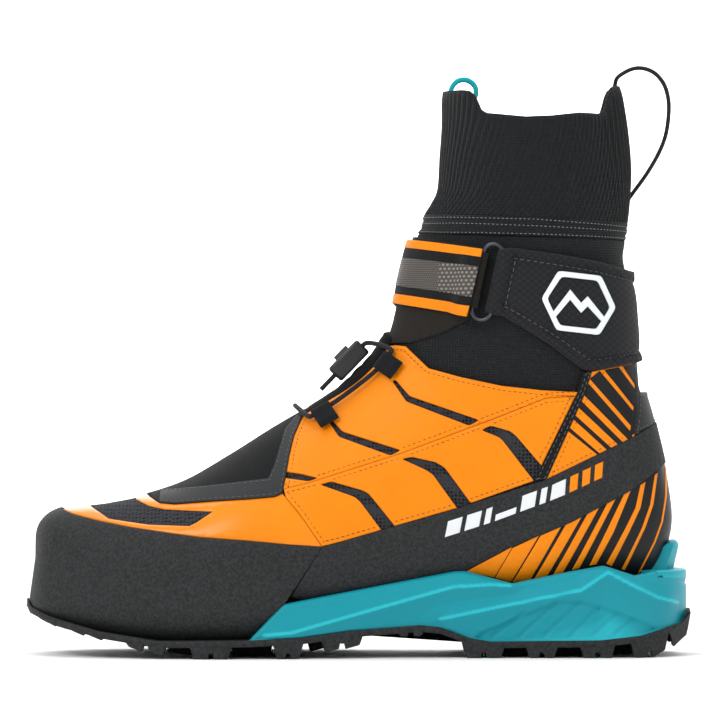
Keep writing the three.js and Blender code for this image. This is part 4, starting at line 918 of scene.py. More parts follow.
def tongue_relief(spots, s, u, away):
    """Padding quilted in cross channels."""
    t = np.clip((s - 9.4) / 0.9, 0, 1)
    full = 1.0 + 1.7 * t * t * (3 - 2 * t)
    return full * (1 - np.exp(-away / 2.0)) * (0.75 + 0.25 * np.abs(np.sin(s * math.pi * 2.2)) ** 0.5)


tongue_line = np.vstack([[[s_vamp - 0.1, 0]], throat_line((s_vamp - 0.1, s_neck + 0.55), THROAT - 0.8),
                         [[s_neck + 0.62, 0]]])
settle(panel("padded_tongue", over_top(tongue_line), 0.3, 2.0, BLACK_WEAVE, edge=0.6, relief=tongue_relief),
       "tongue", "black_cloth")

# ------------------------------------------------------------------ orange quarters
# Two orange panels on each side, stitched along a seam that slopes down to the toes, are cut out in
# slots that show the mesh below.

SEAM = [(98.8, 118.5), (85, 117.5), (65, 109.5), (19.5, 92.5), (-21.5, 79.5), (-33.6, 76.5)]
SLOTS_HIGH = [
    [(15.5, 125.5), (17, 126), (23.5, 118.5), (55, 107.5), (50.5, 105), (22, 116)],
    [(-14, 108), (-12.5, 108.5), (-7, 102.5), (19.5, 94), (15, 91.5), (-8.5, 100)],
    [(-33.5, 84.5), (-26, 83.5), (-18, 81.5), (-22, 80), (-33.5, 81.5)],
]
SLOTS_LOW = [
    [(56, 103), (60, 105), (69, 102.5), (71.5, 100.5), (84, 86), (80.5, 79), (65.5, 98.5), (63.5, 100)],
    [(20, 90), (24.5, 91), (35.5, 88.5), (39.5, 86), (52, 69), (45.5, 67), (34, 83), (31, 85)],
    [(-17, 78.5), (-12, 80), (2, 76), (5, 74.5), (17.5, 59), (11.5, 57), (1, 71), (-1.5, 73)],
]
BAND_TOP = [(-16, 50.5), (-8, 52.5), (44.5, 67.5), (85, 80.5), (125.5, 100), (136.5, 106)]


def soft_corners(points, cut=1.1):
    """Cuts each corner of a closed outline with a small arc."""
    out = []
    points = np.asarray(points, float)
    for before, p, after in zip(np.roll(points, 1, 0), points, np.roll(points, -1, 0)):
        a, b = before - p, after - p
        la, lb = np.linalg.norm(a), np.linalg.norm(b)
        a, b = a / la * min(cut, la * 0.4), b / lb * min(cut, lb * 0.4)
        out += [p + a, p + (a + b) * 0.22, p + b]
    return np.array(out)


high_line = np.vstack([
    throat_up, trace(QUARTER_TOP, step=1.2)[2:], trace([(99.6, 120.2), (98.8, 118.5)], step=1.2)[1:],
    trace(SEAM, step=1.2)[1:], trace(COVER_BACK, step=1.2)[2:-2],
])
low_line = np.vstack([
    trace(SEAM, step=1.2), trace(VAMP_SEAM, step=1.2)[2:],
    trace([p for p in BAND_TOP if p[0] < 80] + [(80, 80)], step=1.2)[1:],
    trace([(80, 80), (98.8, 118.5)], step=1.2)[1:-1],
])


def pressed(spots, s, u, away):
    """The film is stitched down near its edge and stands up a little inside the stitching."""
    return -0.22 * np.exp(-((away - 2.0) / 0.7) ** 2)


for side in SIDES:
    sign = [1, 1] if side == "outer" else [1, -1]
    holes = [loop_of(soft_corners(h), side, step=0.8) for h in SLOTS_HIGH]
    high = panel("high_quarter_film_" + side, tidy_loop(high_line) * sign, *OVERLAY, ORANGE_FILM,
                 holes=holes, edge=0.35,
                 relief=pressed)
    settle(high, "high_quarter_" + side, "orange_film")
    holes = [loop_of(soft_corners(h), side, step=0.8) for h in SLOTS_LOW]
    low = panel("low_quarter_film_" + side, turned_in(tidy_loop(low_line), 0.15) * sign, *OVERLAY,
                ORANGE_FILM,
                holes=holes, edge=0.35, relief=pressed)
    settle(low, "low_quarter_" + side, "orange_film")

# ------------------------------------------------------------------ stay strips and heel sides
# A black stitched strip braces each side from the heel band to the collar. Behind it is an orange
# panel with printed black lines that lean back, and a grey tab covers the seam at the heel.

STAY_FRONT = [(102.5, 129), (100, 121), (80, 80)]
STAY_BACK = [(106, 129.5), (103, 120), (85.5, 81)]
STAY_REAR = [(127.5, 133.6), (128.3, 120), (127.5, 110), (126, 101)]
HEEL_SIDE = STAY_BACK + [(85, 80.5), (125.5, 100)] + STAY_REAR[::-1] + [(119.5, 132)]
STAY_STRIP = STAY_FRONT + [(85, 80.5)] + STAY_BACK[::-1]
HEEL_LINES = [
    [(95.0, 104.9), (94.2, 103.3), (108.6, 91.7), (109.9, 92.1)],
    [(97.9, 110.2), (96.9, 108.5), (113.3, 93.6), (115.2, 94.6)],
    [(100.9, 116.5), (99.4, 113.7), (118.1, 96.2), (120.3, 97.3)],
    [(104.6, 124.0), (102.2, 119.0), (122.8, 98.5), (124.8, 99.6), (123.8, 102.2)],
    [(109.6, 129.8), (105.0, 126.2), (124.3, 104.5), (125.6, 111.0)],
    [(118.6, 131.4), (111.8, 130.2), (125.9, 112.8), (127.2, 120.2)],
    [(126.2, 133.0), (120.4, 131.9), (127.1, 122.1), (127.7, 130.0)],
    [(125.6, 133.3), (127.5, 133.5), (128.2, 120), (127.4, 110), (125.9, 101.2), (123.7, 100.2),
     (123.6, 102.5), (125.0, 110), (126.2, 120)],
]
BLACK_PRINT = film_material("black_printed_film", "#141516", 0.45)
BLACK_STRIP = woven_material("black_stay_webbing", "#0e0f10", "#202123", 0.7)

for side in SIDES:
    strip = panel("stay_strip_webbing_" + side, loop_of(STAY_STRIP, side, step=0.9), *BAND, BLACK_STRIP,
                  edge=0.4, fine=0.7)
    settle(strip, "stay_strip_" + side, "black_cloth")
    heel = panel("heel_side_film_" + side, loop_of(HEEL_SIDE, side, step=1.0), *OVERLAY, ORANGE_FILM,
                 edge=0.35, relief=pressed)
    settle(heel, "heel_side_" + side, "orange_film")
    for i, line in enumerate(HEEL_LINES):
        mark = panel(f"heel_line_{side}_{i}", loop_of(line, side, step=0.8), 2.4, 2.82, BLACK_PRINT,
                     edge=0.08, fine=0.5)
        settle(mark, None, "print")

tab_line = [(128.3, 120), (127.5, 110), (126, 101)]
tab_loop = round_heel(trace([(128.3, 120), (140, 120.5)], step=1.0, end=0.5),
                      np.vstack([trace(tab_line, step=1.0)[1:],
                                 trace([(126, 101), (136.5, 106), (142, 107.5)], step=1.0, end=0.5)[1:]]))
settle(panel("heel_tab_film", tab_loop, *OVERLAY, GREY_TAPE, edge=0.35), "heel_tab", "grey_film")

# ------------------------------------------------------------------ heel band
# The black rubber band carries on from the rand, rises round the heel and ties it to the sole. Its
# print is a plain pattern of slanted bars.

BAND_BOTTOM = [(48, 39), (69.5, 50), (96.5, 61), (124, 75.5), (141.5, 88.5)]
band_upper = trace(BAND_TOP + [(146, 109)], step=1.1, end=0.5)
band_lower = np.vstack([
    trace([(-16, 50.5), (-28, 32), (-30, 28)], step=1.1)[1:],
    trace([p for p in FEATHER if -31 < p[0] < 40] + [(48, 32)], step=1.3),
    trace([(48, 32), (48, 39)], step=1.1)[1:],
    trace(BAND_BOTTOM + [(148, 94)], step=1.1, end=0.5)[1:],
])
settle(panel("heel_band_rubber", round_heel(band_upper, band_lower), *BAND, RAND_RUBBER, edge=0.5),
       "heel_band", "rand_rubber")

WHITE_PRINT = film_material("white_print", "#dfe3e6", 0.5, patch=0.03)
ORANGE_PRINT = film_material("orange_print", "#ee8400", 0.5, patch=0.03)


def band_bar(at, width, lean, low, high):
    """Corners of a slanted bar printed along the middle of the band, at a distance from its front end."""
    path = np.array([(-16, 44), (0, 46.5), (30, 55), (60, 64.5), (90, 75.5), (118, 88.5)])
    lengths = np.concatenate([[0], np.cumsum(np.linalg.norm(np.diff(path, axis=0), axis=1))])

    def spot(along, across):
        p = np.array([np.interp(along, lengths, path[:, i]) for i in (0, 1)])
        q = np.array([np.interp(along + 1, lengths, path[:, i]) for i in (0, 1)])
        d = (q - p) / np.linalg.norm(q - p)
        return tuple(p + np.array([-d[1], d[0]]) * across)

    return [spot(at + lean * low, low), spot(at + width + lean * low, low),
            spot(at + width + lean * high, high),
            spot(at + lean * high, high)]


for side in SIDES:
    at, count = 58.0, 0
    for width, low, high, print_kind in [(7, -3.2, 3.2, "w"), (7, -3.2, 3.2, "w"), (3, -3.2, 3.2, "w"),
                                         (10, -3.2, -0.6, "w"), (7, -3.2, 3.2, "w"), (3, -3.2, 3.2, "w"),
                                         (7, -3.2, 3.2, "w"), (4, -3.2, 3.2, "o"), (4, -3.2, 3.2, "o"),
                                         (4, -3.2, 3.2, "o")]:
        bar = panel(f"band_bar_{side}_{count}",
                    loop_of(band_bar(at, width, 0.55, low, high), side, step=0.9, level=3.2),
                    3.0, 3.34, WHITE_PRINT if print_kind == "w" else ORANGE_PRINT, edge=0.08, fine=0.6)
        settle(bar, None, "print")
        at += width + 2.2
        count += 1

# ------------------------------------------------------------------ heel wrap
# Below the band the heel is wrapped in black film with orange flashes that lean forward.

wrap_lower = np.vstack([
    trace([(48, 39), (48, 32)], step=1.1)[1:],
    trace([(48, 32), (75, 33), (106, 33.5), (131, 37), (146, 46)], step=1.3, end=0.5)[1:],
])
wrap_loop = round_heel(trace(BAND_BOTTOM + [(148, 94)], step=1.1, end=0.5), wrap_lower)
settle(panel("heel_wrap_film", wrap_loop, 1.6, 2.6, BLACK_PRINT, edge=0.3), "heel_wrap", "orange_film")

FLASHES = [
    [(48.6, 38.6), (62.0, 36.2), (69.7, 49.5), (69.5, 50)],
    [(62.4, 36.0), (69.5, 33.9), (82.0, 55.2), (70.1, 49.6)],
    [(70.3, 33.9), (78.1, 34.6), (92.0, 59.2), (82.8, 55.2)],
    [(80.1, 35.3), (85.8, 36.4), (101.4, 63.7), (94.3, 60.3)],
    [(88.6, 37.0), (93.2, 38.4), (109.4, 68.0), (104.0, 65.0)],
    [(97.2, 39.4), (100.6, 40.3), (116.8, 71.7), (113.1, 69.8)],
    [(105.1, 41.4), (108.2, 42.0), (115.9, 56.4), (123.9, 75.7), (120.7, 73.7)],
    [(112.8, 42.2), (115.3, 41.0), (123.3, 56.9), (128.4, 67.7), (130.7, 79.4), (128.4, 78.0),
     (126.1, 67.7), (121.0, 57.5)],
    [(119.9, 39.6), (121.3, 39.0), (130.7, 58.6), (134.4, 68.9), (136.6, 83.3), (135.2, 82.4),
     (132.9, 68.9), (129.0, 58.1)],
    [(127.5, 37.4), (128.1, 37.1), (135.6, 51.7), (139.0, 60.8), (141.0, 72.2), (141.5, 86.5),
     (140.7, 86.0), (140.2, 72.4), (138.2, 61.0), (134.8, 51.9)],
]
for side in SIDES:
    for i, outline in enumerate(FLASHES):
        flash = panel(f"heel_flash_{side}_{i}", loop_of(outline, side, step=0.9), 2.3, 2.8, ORANGE_FILM,
                      edge=0.12, fine=0.6)
        settle(flash, None, "orange_film")

# ------------------------------------------------------------------ padded ankle collar
# A foam-filled collar of embossed black cloth wraps the ankle from one side of the throat round the
# heel to the other; its front edge is folded round the ring's rear bar.

COLLAR_TOP = [(63.5, 185), (69.5, 185.5), (92, 182.5), (110, 179.5), (128.5, 175), (140, 173)]
COLLAR_LOW = [(57, 156), (65, 154.5), (74, 149.5), (87.5, 141.5), (102.5, 131), (106, 130), (119.5, 132),
              (128, 133.7), (140, 135.5)]


def embossed_material(name, colour, light):
    """Cloth over soft foam, embossed with a net of small diamonds 3 mm apart."""
    material, tree, shader = blank_material(name)
    where = add_node(tree, "ShaderNodeTexCoord")
    parts = add_node(tree, "ShaderNodeSeparateXYZ", {"Vector": where.outputs["Object"]})
    waves = []
    for lean in (0.8, -0.8):
        slant = maths(tree, "MULTIPLY_ADD", parts.outputs[0], lean, parts.outputs[2])
        waves.append(maths(tree, "SINE", maths(tree, "MULTIPLY", slant, 2 * math.pi / (3.0 * MM))))
    groove = maths(tree, "MINIMUM", *waves)
    ridge = add_node(tree, "ShaderNodeMapRange", {"Value": groove, "From Min": -1.0, "From Max": -0.5})
    weave = pattern(tree, "Voronoi", 1400.0)
    both = maths(tree, "MULTIPLY_ADD", weave.outputs["Distance"], 0.25, ridge)
    surface(tree, shader, between(tree, ridge, linear(colour), linear(light)), both, 0.6, 0.2)
    shader.inputs["Roughness"].default_value = 0.88
    shader.inputs["Specular IOR Level"].default_value = 0.25
    shader.inputs["Sheen Weight"].default_value = 0.05
    return material


COLLAR_CLOTH = embossed_material("embossed_collar_cloth", "#141517", "#202123")


def collar_relief(spots, s, u, away):
    """Piped edge, a stitched channel inside it, then the foam. The front edge is folded back over
    the ring's bar, so it is full there, with its stitching behind the bar."""
    pipe = 1.5 * np.sqrt(np.clip(1 - ((away - 2.0) / 2.1) ** 2, 0, 1))
    pad = np.maximum(pipe, 2.4 * (1 - np.exp(-np.clip(away - 4.6, 0, None) / 3.5))) - 0.3
    front = (spots[:, 0] - 57.0) - (spots[:, 2] - 156.0) * (6.5 / 29.0)
    fold = 2.5 * np.sqrt(np.clip(1 - ((front - 4.0) / 4.8) ** 2, 0, 1)) * np.clip((away + 1.0) / 2.4, 0, 1)
    return np.where(front < 7.8, np.maximum(fold, 0.1), pad - 1.1 * np.exp(-((front - 8.9) / 0.9) ** 2))


collar_loop = round_heel(trace(COLLAR_TOP, level=4.5, end=0.5),
                         np.vstack([trace([(63.5, 185), (57, 156)], level=4.5)[1:-1],
                                    trace(COLLAR_LOW, level=4.5, end=0.5)]))
collar = panel("ankle_collar_pad", collar_loop, 0.3, 3.4, COLLAR_CLOTH, edge=1.0, relief=collar_relief,
               fine=0.5)
settle(collar, "ankle_collar", "black_cloth")

# ------------------------------------------------------------------ emblem
# A plain six-sided badge with a mountain line is printed in white on both sides of the collar.

BADGE = film_material("white_transfer", "#e6ebee", 0.42, patch=0.03)
EMBLEM_X, EMBLEM_Z, LONG, SHORT, RIM = 100, 160.5, 17, 14.5, 2.6
ON_COLLAR = (5.2, 5.95)


def six_sides(inset):
    a, b, x, z = LONG - inset, SHORT - inset, EMBLEM_X, EMBLEM_Z
    return [(x - a, z + 2), (x - a * 0.55, z + b), (x + a * 0.6, z + b * 0.85),
            (x + a, z - 2), (x + a * 0.55, z - b), (x - a * 0.6, z - b * 0.85)]


PEAK = [(-13.2, -6), (-4, 6), (1, 0), (4, 3), (12.5, -7.5), (10.6, -8.6), (4, -1.5), (1, -4.5), (-4, 1.5),
        (-11.6, -7.6)]
for side in SIDES:
    rim, hole = [loop_of(soft_corners(six_sides(inset), 1.5), side, step=0.8, level=5.5)
                 for inset in (0, RIM)]
    badge = panel("emblem_rim_" + side, rim, *ON_COLLAR, BADGE, holes=[hole], edge=0.15, fine=0.5)
    settle(badge, "emblem_" + side, "print")
    line = loop_of([(EMBLEM_X + x, EMBLEM_Z + z) for x, z in PEAK], side, step=0.8, level=5.5)
    peak = panel("emblem_peak_" + side, line, *ON_COLLAR, BADGE, edge=0.15, fine=0.5)
    settle(peak, None, "print")

# ------------------------------------------------------------------ ring and strap band
# A stretch band is wrapped round the front of the ankle; its end is folded round the front bar of a
# flat black steel ring, whose rear bar is held in the collar's fold.

RING_CENTRE = (np.array([54.4906, -36.2374, 170.9675]) + np.array([63.0329, -38.3411, 169.0692])) / 2
RING_AXIS = np.array([0.205898, -0.045976, 0.977493])
RING_OUT = np.array([-0.238186, -0.971209, 0.004491])
RING_ACROSS = np.array([0.949144, -0.233750, -0.210921])
RING_LENGTH, RING_WIDTH, WIRE = 37, 11, 1.0
BAR = (RING_WIDTH - 2 * WIRE) / 2
FOLD_HALF = RING_LENGTH / 2 - RING_WIDTH / 2 - 0.3


def at_ring(along, across, out):
    """A point by the ring: along its bars, across it towards the heel and outwards."""
    return RING_CENTRE + RING_AXIS * along + RING_ACROSS * across + RING_OUT * out


def tube(name, points, radius, material, sides=12, closed=False, flat=None, up=None):
    """A round wire or a flat tape along a line of points in mm. flat is (width, thickness), with the
    thickness towards up. It has a map in mm, along and round it."""
    points = np.asarray(points, float)
    count = len(points)
    if closed:
        tangents = np.roll(points, -1, 0) - np.roll(points, 1, 0)
    else:
        tangents = np.gradient(points, axis=0)
    tangents /= np.maximum(np.linalg.norm(tangents, axis=1, keepdims=True), 1e-9)
    if up is None:
        seed = np.array([0, 0, 1.0]) if abs(tangents[0][2]) < 0.9 else np.array([0, 1.0, 0])
        frames = []
        n = seed - tangents[0] * np.dot(seed, tangents[0])
        for t in tangents:
            n = n - t * np.dot(n, t)
            n /= np.linalg.norm(n)
            frames.append(n)
        normals = np.array(frames)
    else:
        normals = np.broadcast_to(np.asarray(up, float), points.shape)
        normals = normals - tangents * (normals * tangents).sum(1, keepdims=True)
        normals = normals / np.maximum(np.linalg.norm(normals, axis=1, keepdims=True), 1e-9)
    sideways = np.cross(tangents, normals)
    angles = 2 * np.pi * (np.arange(sides) + 0.5) / sides
    if flat:
        w, t = flat[0] / 2, flat[1] / 2
        power = 0.35
        a = np.sign(np.cos(angles)) * np.abs(np.cos(angles)) ** power * w
        b = np.sign(np.sin(angles)) * np.abs(np.sin(angles)) ** power * t
    else:
        a, b = np.cos(angles) * radius, np.sin(angles) * radius
    rings = points[:, None] + sideways[:, None] * a[None, :, None] + normals[:, None] * b[None, :, None]
    vertices = list(rings.reshape(-1, 3))
    faces = []
    for i in range(count if closed else count - 1):
        for j in range(sides):
            p, q = i * sides + j, i * sides + (j + 1) % sides
            r, s = ((i + 1) % count) * sides + (j + 1) % sides, ((i + 1) % count) * sides + j
            faces.append((p, s, r, q))
    if not closed:
        faces.append(tuple(range(sides)))
        faces.append(tuple((count - 1) * sides + j for j in range(sides))[::-1])
    piece = mesh_object(name, np.array(vertices), faces, material)
    mesh = piece.data
    steps = np.concatenate([[0], np.cumsum(np.linalg.norm(np.diff(points, axis=0), axis=1))])
    layer = mesh.uv_layers.new(name="cloth")
    girth = 2 * math.pi * radius if not flat else 2 * (flat[0] + flat[1])
    data = np.empty((len(mesh.loops), 2))
    for polygon in mesh.polygons:
        js = [mesh.loops[k].vertex_index % sides for k in polygon.loop_indices]
        wrap = max(js) - min(js) > sides // 2
        for k, j in zip(polygon.loop_indices, js):
            v = mesh.loops[k].vertex_index
            data[k] = (steps[min(v // sides, count - 1)],
                       (j + (sides if wrap and j < sides // 2 else 0)) * girth / sides)
    layer.data.foreach_set("uv", data.ravel())
    return face_out(piece)


def metal_material(name, colour, roughness, scratch_mm=0.5):
    """Coated or bare metal with faint scratches."""
    material, tree, shader = blank_material(name)
    noise = pattern(tree, "Noise", 1 / (scratch_mm * MM), Detail=3.0)
    rough = add_node(tree, "ShaderNodeMapRange", {"Value": noise.outputs["Fac"], "To Min": roughness - 0.08,
                                                  "To Max": roughness + 0.1})
    tree.links.new(rough.outputs[0], shader.inputs["Roughness"])
    shader.inputs["Base Color"].default_value = linear(colour)
    shader.inputs["Metallic"].default_value = 1.0
    return material


BLACK_STEEL = metal_material("black_coated_steel", "#4a4c4f", 0.32)
ring_points = []
for end, start in ((1, 0), (-1, math.pi)):
    for t in np.linspace(start, start + math.pi, 15):
        middle = end * (RING_LENGTH / 2 - RING_WIDTH / 2)
        ring_points.append(at_ring(middle + BAR * math.sin(t), BAR * math.cos(t), 0))
settle(tube("steel_ring", ring_points, WIRE, BLACK_STEEL, 14, closed=True), "strap_ring", "black_steel",
       "ring")

GREY_STRETCH = woven_material("grey_brown_stretch_webbing", "#1a1816", "#2c2926", 0.7, 0.9, 0.05)
STRAP_BAND = [(50.6, 153.5), (37.5, 147), (24, 142.8), (12, 142.3)]
STRAP_HIGH = [(56.4, 185.4), (37.5, 188.6), (25, 191.4)]
low_side = trace(STRAP_BAND, level=1.5, end=0)
high_side = trace(STRAP_HIGH, level=1.5, end=0)
inner_low = trace([(57, 155.5)] + STRAP_BAND, level=1.5, end=0)
inner_high = trace([(63, 185.2)] + STRAP_HIGH, level=1.5, end=0)
band_loop = np.vstack([low_side, inner_low[::-1][1:] * [1, -1], inner_high * [1, -1], high_side[::-1][1:]])


def band_relief(spots, s, u, away):
    """The webbing is a little thicker at its woven edge."""
    return 0.25 * np.exp(-(away / 1.2) ** 2) - 0.1


settle(panel("strap_band_webbing", band_loop, 0.3, 1.4, GREY_STRETCH, edge=0.35, relief=band_relief),
       "strap_band",
       "grey_stretch")
sleeve_v, sleeve_f = [], []
for r in (2.3, 1.75):
    for along in (-FOLD_HALF, FOLD_HALF):
        for k in range(28):
            t = 2 * math.pi * k / 28
            sleeve_v.append(at_ring(along, -BAR + r * math.cos(t), r * math.sin(t)))
for k in range(28):
    m = (k + 1) % 28
    sleeve_f += [(k, m, 28 + m, 28 + k), (56 + m, 56 + k, 84 + k, 84 + m), (m, k, 56 + k, 56 + m),
                 (28 + k, 28 + m, 84 + m, 84 + k)]
sleeve = mesh_object("strap_fold_on_ring", np.array(sleeve_v), sleeve_f, GREY_STRETCH)
settle(face_out(sleeve), None, "grey_stretch")

# ------------------------------------------------------------------ strap tab
# The free end of the strap lies over the band and can be peeled back: orange edges, black bands and a
# grey middle printed with reflective dots.

TAB_LOW, TAB_HIGH = 2.1, 3.2
TAB_RAMP, FOLD_RADIUS, TAB_GAP = 12, 2.9, 0.6  # how it climbs over the fold on the bar, in mm


def tab_lift(spots):
    """The tab rises over the fold on the ring's front bar."""
    away = spots + SHIFT - RING_CENTRE
    across = away @ RING_ACROSS
    t = np.clip((across + BAR + TAB_RAMP) / (TAB_RAMP - FOLD_RADIUS), 0, 1)
    near = t * t * (3 - 2 * t)
    over = FOLD_RADIUS + TAB_GAP - TAB_LOW - away @ RING_OUT
    return np.where(spots[:, 1] < 0, near * np.clip(over, 0, 6), 0.0)


def tab_shape(high_left, high_right, low_left, low_right, past=0.072):
    """A strip of the tab between two lines, carried over the ridge to the inner side."""
    high = trace([high_right, high_left], level=3.0, end=0)
    low = trace([low_right, low_left], level=3.0, end=0)
    return np.vstack([high, [[high[-1, 0], -past * 0.5], [high[-1, 0] - 0.1, -past]],
                      [[low[-1, 0] + 0.1, -past], [low[-1, 0], -past * 0.5]], low[::-1]])


def dotted_material(name, cloth, dot_small, dot_large):
    """Grey cloth printed with reflective dots: small ones in front, larger ones towards the ring."""
    material, tree, shader = blank_material(name)
    where = add_node(tree, "ShaderNodeUVMap", uv_map="cloth")
    parts = add_node(tree, "ShaderNodeSeparateXYZ", {"Vector": where})
    masks = []
    for pitch, radius in ((0.95, 0.27), (1.75, 0.56)):
        along, row = [maths(tree, "MULTIPLY", parts.outputs[axis], 1 / pitch) for axis in (0, 1)]
        odd = maths(tree, "FLOORED_MODULO", maths(tree, "FLOOR", row), 2.0)
        shifted = maths(tree, "MULTIPLY_ADD", odd, 0.5, along)
        cx, cz = [maths(tree, "SUBTRACT", maths(tree, "FRACT", line), 0.5) for line in (shifted, row)]
        spot = add_node(tree, "ShaderNodeCombineXYZ", {0: cx, 1: cz})
        length = add_node(tree, "ShaderNodeVectorMath", {0: spot}, operation="LENGTH")
        masks.append(maths(tree, "LESS_THAN", length.outputs["Value"], radius / pitch))
    back = maths(tree, "GREATER_THAN", parts.outputs[0], 30.0)
    mask = add_node(tree, "ShaderNodeMix", {0: back, 2: masks[0], 3: masks[1]}, data_type="FLOAT")
    light = between(tree, back, linear(dot_small), linear(dot_large))
    surface(tree, shader, between(tree, mask, linear(cloth), light), mask, 0.6, 0.1)
    rough = add_node(tree, "ShaderNodeMix", {0: mask.outputs[0], 2: 0.7, 3: 0.3}, data_type="FLOAT")
    tree.links.new(rough.outputs[0], shader.inputs["Roughness"])
    return material


REFLECTIVE = dotted_material("reflective_dot_print", "#3f3b37", "#625c56", "#7f7871")
TAB_BLACK = woven_material("black_strap_webbing", "#0f1011", "#202123", 0.7)
base = tab_shape((21.1, 189.7), (57.7, 184.6), (14.9, 161.2), (51.4, 155.0))
settle(panel("strap_tab_webbing", base, TAB_LOW, TAB_HIGH, TAB_BLACK, edge=0.4, lift=tab_lift, fine=0.8),
       "strap_tab",
       "reflective", "tab")
TAB_STRIPES = {
    "tab_orange_top": [(21.1, 190.0), (57.8, 184.9), (20.9, 186.2), (57.0, 181.1)],
    "tab_orange_low": [(15.5, 165.3), (52.4, 159.5), (14.8, 160.9), (51.4, 154.7)],
    "tab_reflective": [(19.4, 181.6), (56.0, 176.8), (16.5, 168.8), (53.2, 163.4)],
}
for name, corners in TAB_STRIPES.items():
    top, kind, slot_name = 0.35, ORANGE_FILM, "orange_film"
    if name == "tab_reflective":
        top, kind, slot_name = 0.22, REFLECTIVE, "reflective"
    stripe = panel(name, tab_shape(*corners), TAB_HIGH - 0.3, TAB_HIGH + top, kind, edge=0.2, lift=tab_lift,
                   fine=0.7)
    settle(stripe, None, slot_name, "tab")

# ------------------------------------------------------------------ lace, lock and loops
# A round braided lace runs through four webbing loops and a press-button lock on the instep.

LOCK_AT = np.array([-3.9920, 0.8133, 134.4683])
LOCK_UP = np.array([0.694645, 0.00408, 0.719341])
LOCK_OUT = np.array([-0.719347, 0, 0.694651])
LOCK_SIDE = np.cross(LOCK_OUT, LOCK_UP)
LACE_RADIUS = 1.1
LACE_LEVEL = 2.7 + 0.3 + 1.0 + 0.4 + LACE_RADIUS
LOOP_WIDTH = 9.5
LOCK_LENGTH, LOCK_WIDTH, LOCK_HEIGHT, BORE_Y = 19, 14, 8.5, 4.3


def on_lock(x, y, z=0.0):
    return LOCK_AT + LOCK_UP * x + LOCK_SIDE * y + LOCK_OUT * z


def instep_frame(s, u, level):
    out = outward(s, u)
    up = foot(s + 0.3, u) - foot(s - 0.3, u)
    up = up - out * np.dot(up, out)
    up /= np.linalg.norm(up)
    return foot(s, u) + out * level + SHIFT, up, np.cross(out, up), out


def plastic_material(name, colour, roughness):
    """Moulded plastic with a fine spark-eroded texture."""
    material, tree, shader = blank_material(name)
    surface(tree, shader, colour, pattern(tree, "Noise", 2500.0, Detail=2.0), 0.5, 0.04)
    shader.inputs["Roughness"].default_value = roughness
    return material


def mesh_from(bm):
    mesh = bpy.data.meshes.new("made")
    bm.to_mesh(mesh)
    bm.free()
    return mesh


def block(name, size, place, centre, material, corner, bevel, bores=(), pocket=None):
    """A rounded block with round bores along its length and a pocket in its top, in a frame."""
    bm = bmesh.new()
    bmesh.ops.create_cube(bm, size=1.0)
    bmesh.ops.scale(bm, vec=Vector(size), verts=bm.verts)
    upright = [e for e in bm.edges if abs((e.verts[0].co - e.verts[1].co).normalized().z) > 0.9]
    bmesh.ops.bevel(bm, geom=upright, offset=corner, segments=5, profile=0.5, affect="EDGES")
    level = [e for e in bm.edges if abs((e.verts[0].co - e.verts[1].co).normalized().z) < 0.1]
    rim = [e for e in level if len(e.link_faces) == 2
           and abs(e.link_faces[0].normal.z - e.link_faces[1].normal.z) > 0.5]
    bmesh.ops.bevel(bm, geom=rim, offset=bevel, segments=3, profile=0.5, affect="EDGES")
    piece = in_scene(name, mesh_from(bm))
    cutters = []
    for y, z, radius in bores:
        cut = bmesh.new()
        bmesh.ops.create_cone(cut, cap_ends=True, segments=24, radius1=radius, radius2=radius,
                              depth=size[0] * 3,
                              matrix=Matrix.Translation((0, y, z)) @ Matrix.Rotation(math.pi / 2, 4, "Y"))
        cutters.append(cut)
    if pocket:
        (px, py, pz), floor = pocket
        cut = bmesh.new()
        bmesh.ops.create_cube(cut, size=1.0)
        bmesh.ops.scale(cut, vec=Vector((px, py, pz)), verts=cut.verts)
        bmesh.ops.translate(cut, vec=Vector((0, 0, floor + pz / 2)), verts=cut.verts)
        cutters.append(cut)
    cutters = [in_scene("cutter", mesh_from(cut)) for cut in cutters]
    for cutter in cutters:
        modifier = piece.modifiers.new("cut", "BOOLEAN")
        modifier.object = cutter
        modifier.operation = "DIFFERENCE"
    evaluated = piece.evaluated_get(bpy.context.evaluated_depsgraph_get())
    cut_mesh = bpy.data.meshes.new_from_object(evaluated)
    piece.modifiers.clear()
    piece.data = cut_mesh
    for cutter in cutters:
        bpy.data.objects.remove(cutter)
    x_axis, y_axis, z_axis = place
    turn = Matrix(((x_axis[0], y_axis[0], z_axis[0], centre[0]),
                   (x_axis[1], y_axis[1], z_axis[1], centre[1]),
                   (x_axis[2], y_axis[2], z_axis[2], centre[2]), (0, 0, 0, 1)))
    cut_mesh.transform(turn)
    cut_mesh.transform(Matrix.Scale(MM, 4))
    cut_mesh.materials.clear()
    cut_mesh.materials.append(material)
    cut_mesh.polygons.foreach_set("use_smooth", [True] * len(cut_mesh.polygons))
    cut_mesh.set_sharp_from_angle(angle=math.radians(40))
    return piece


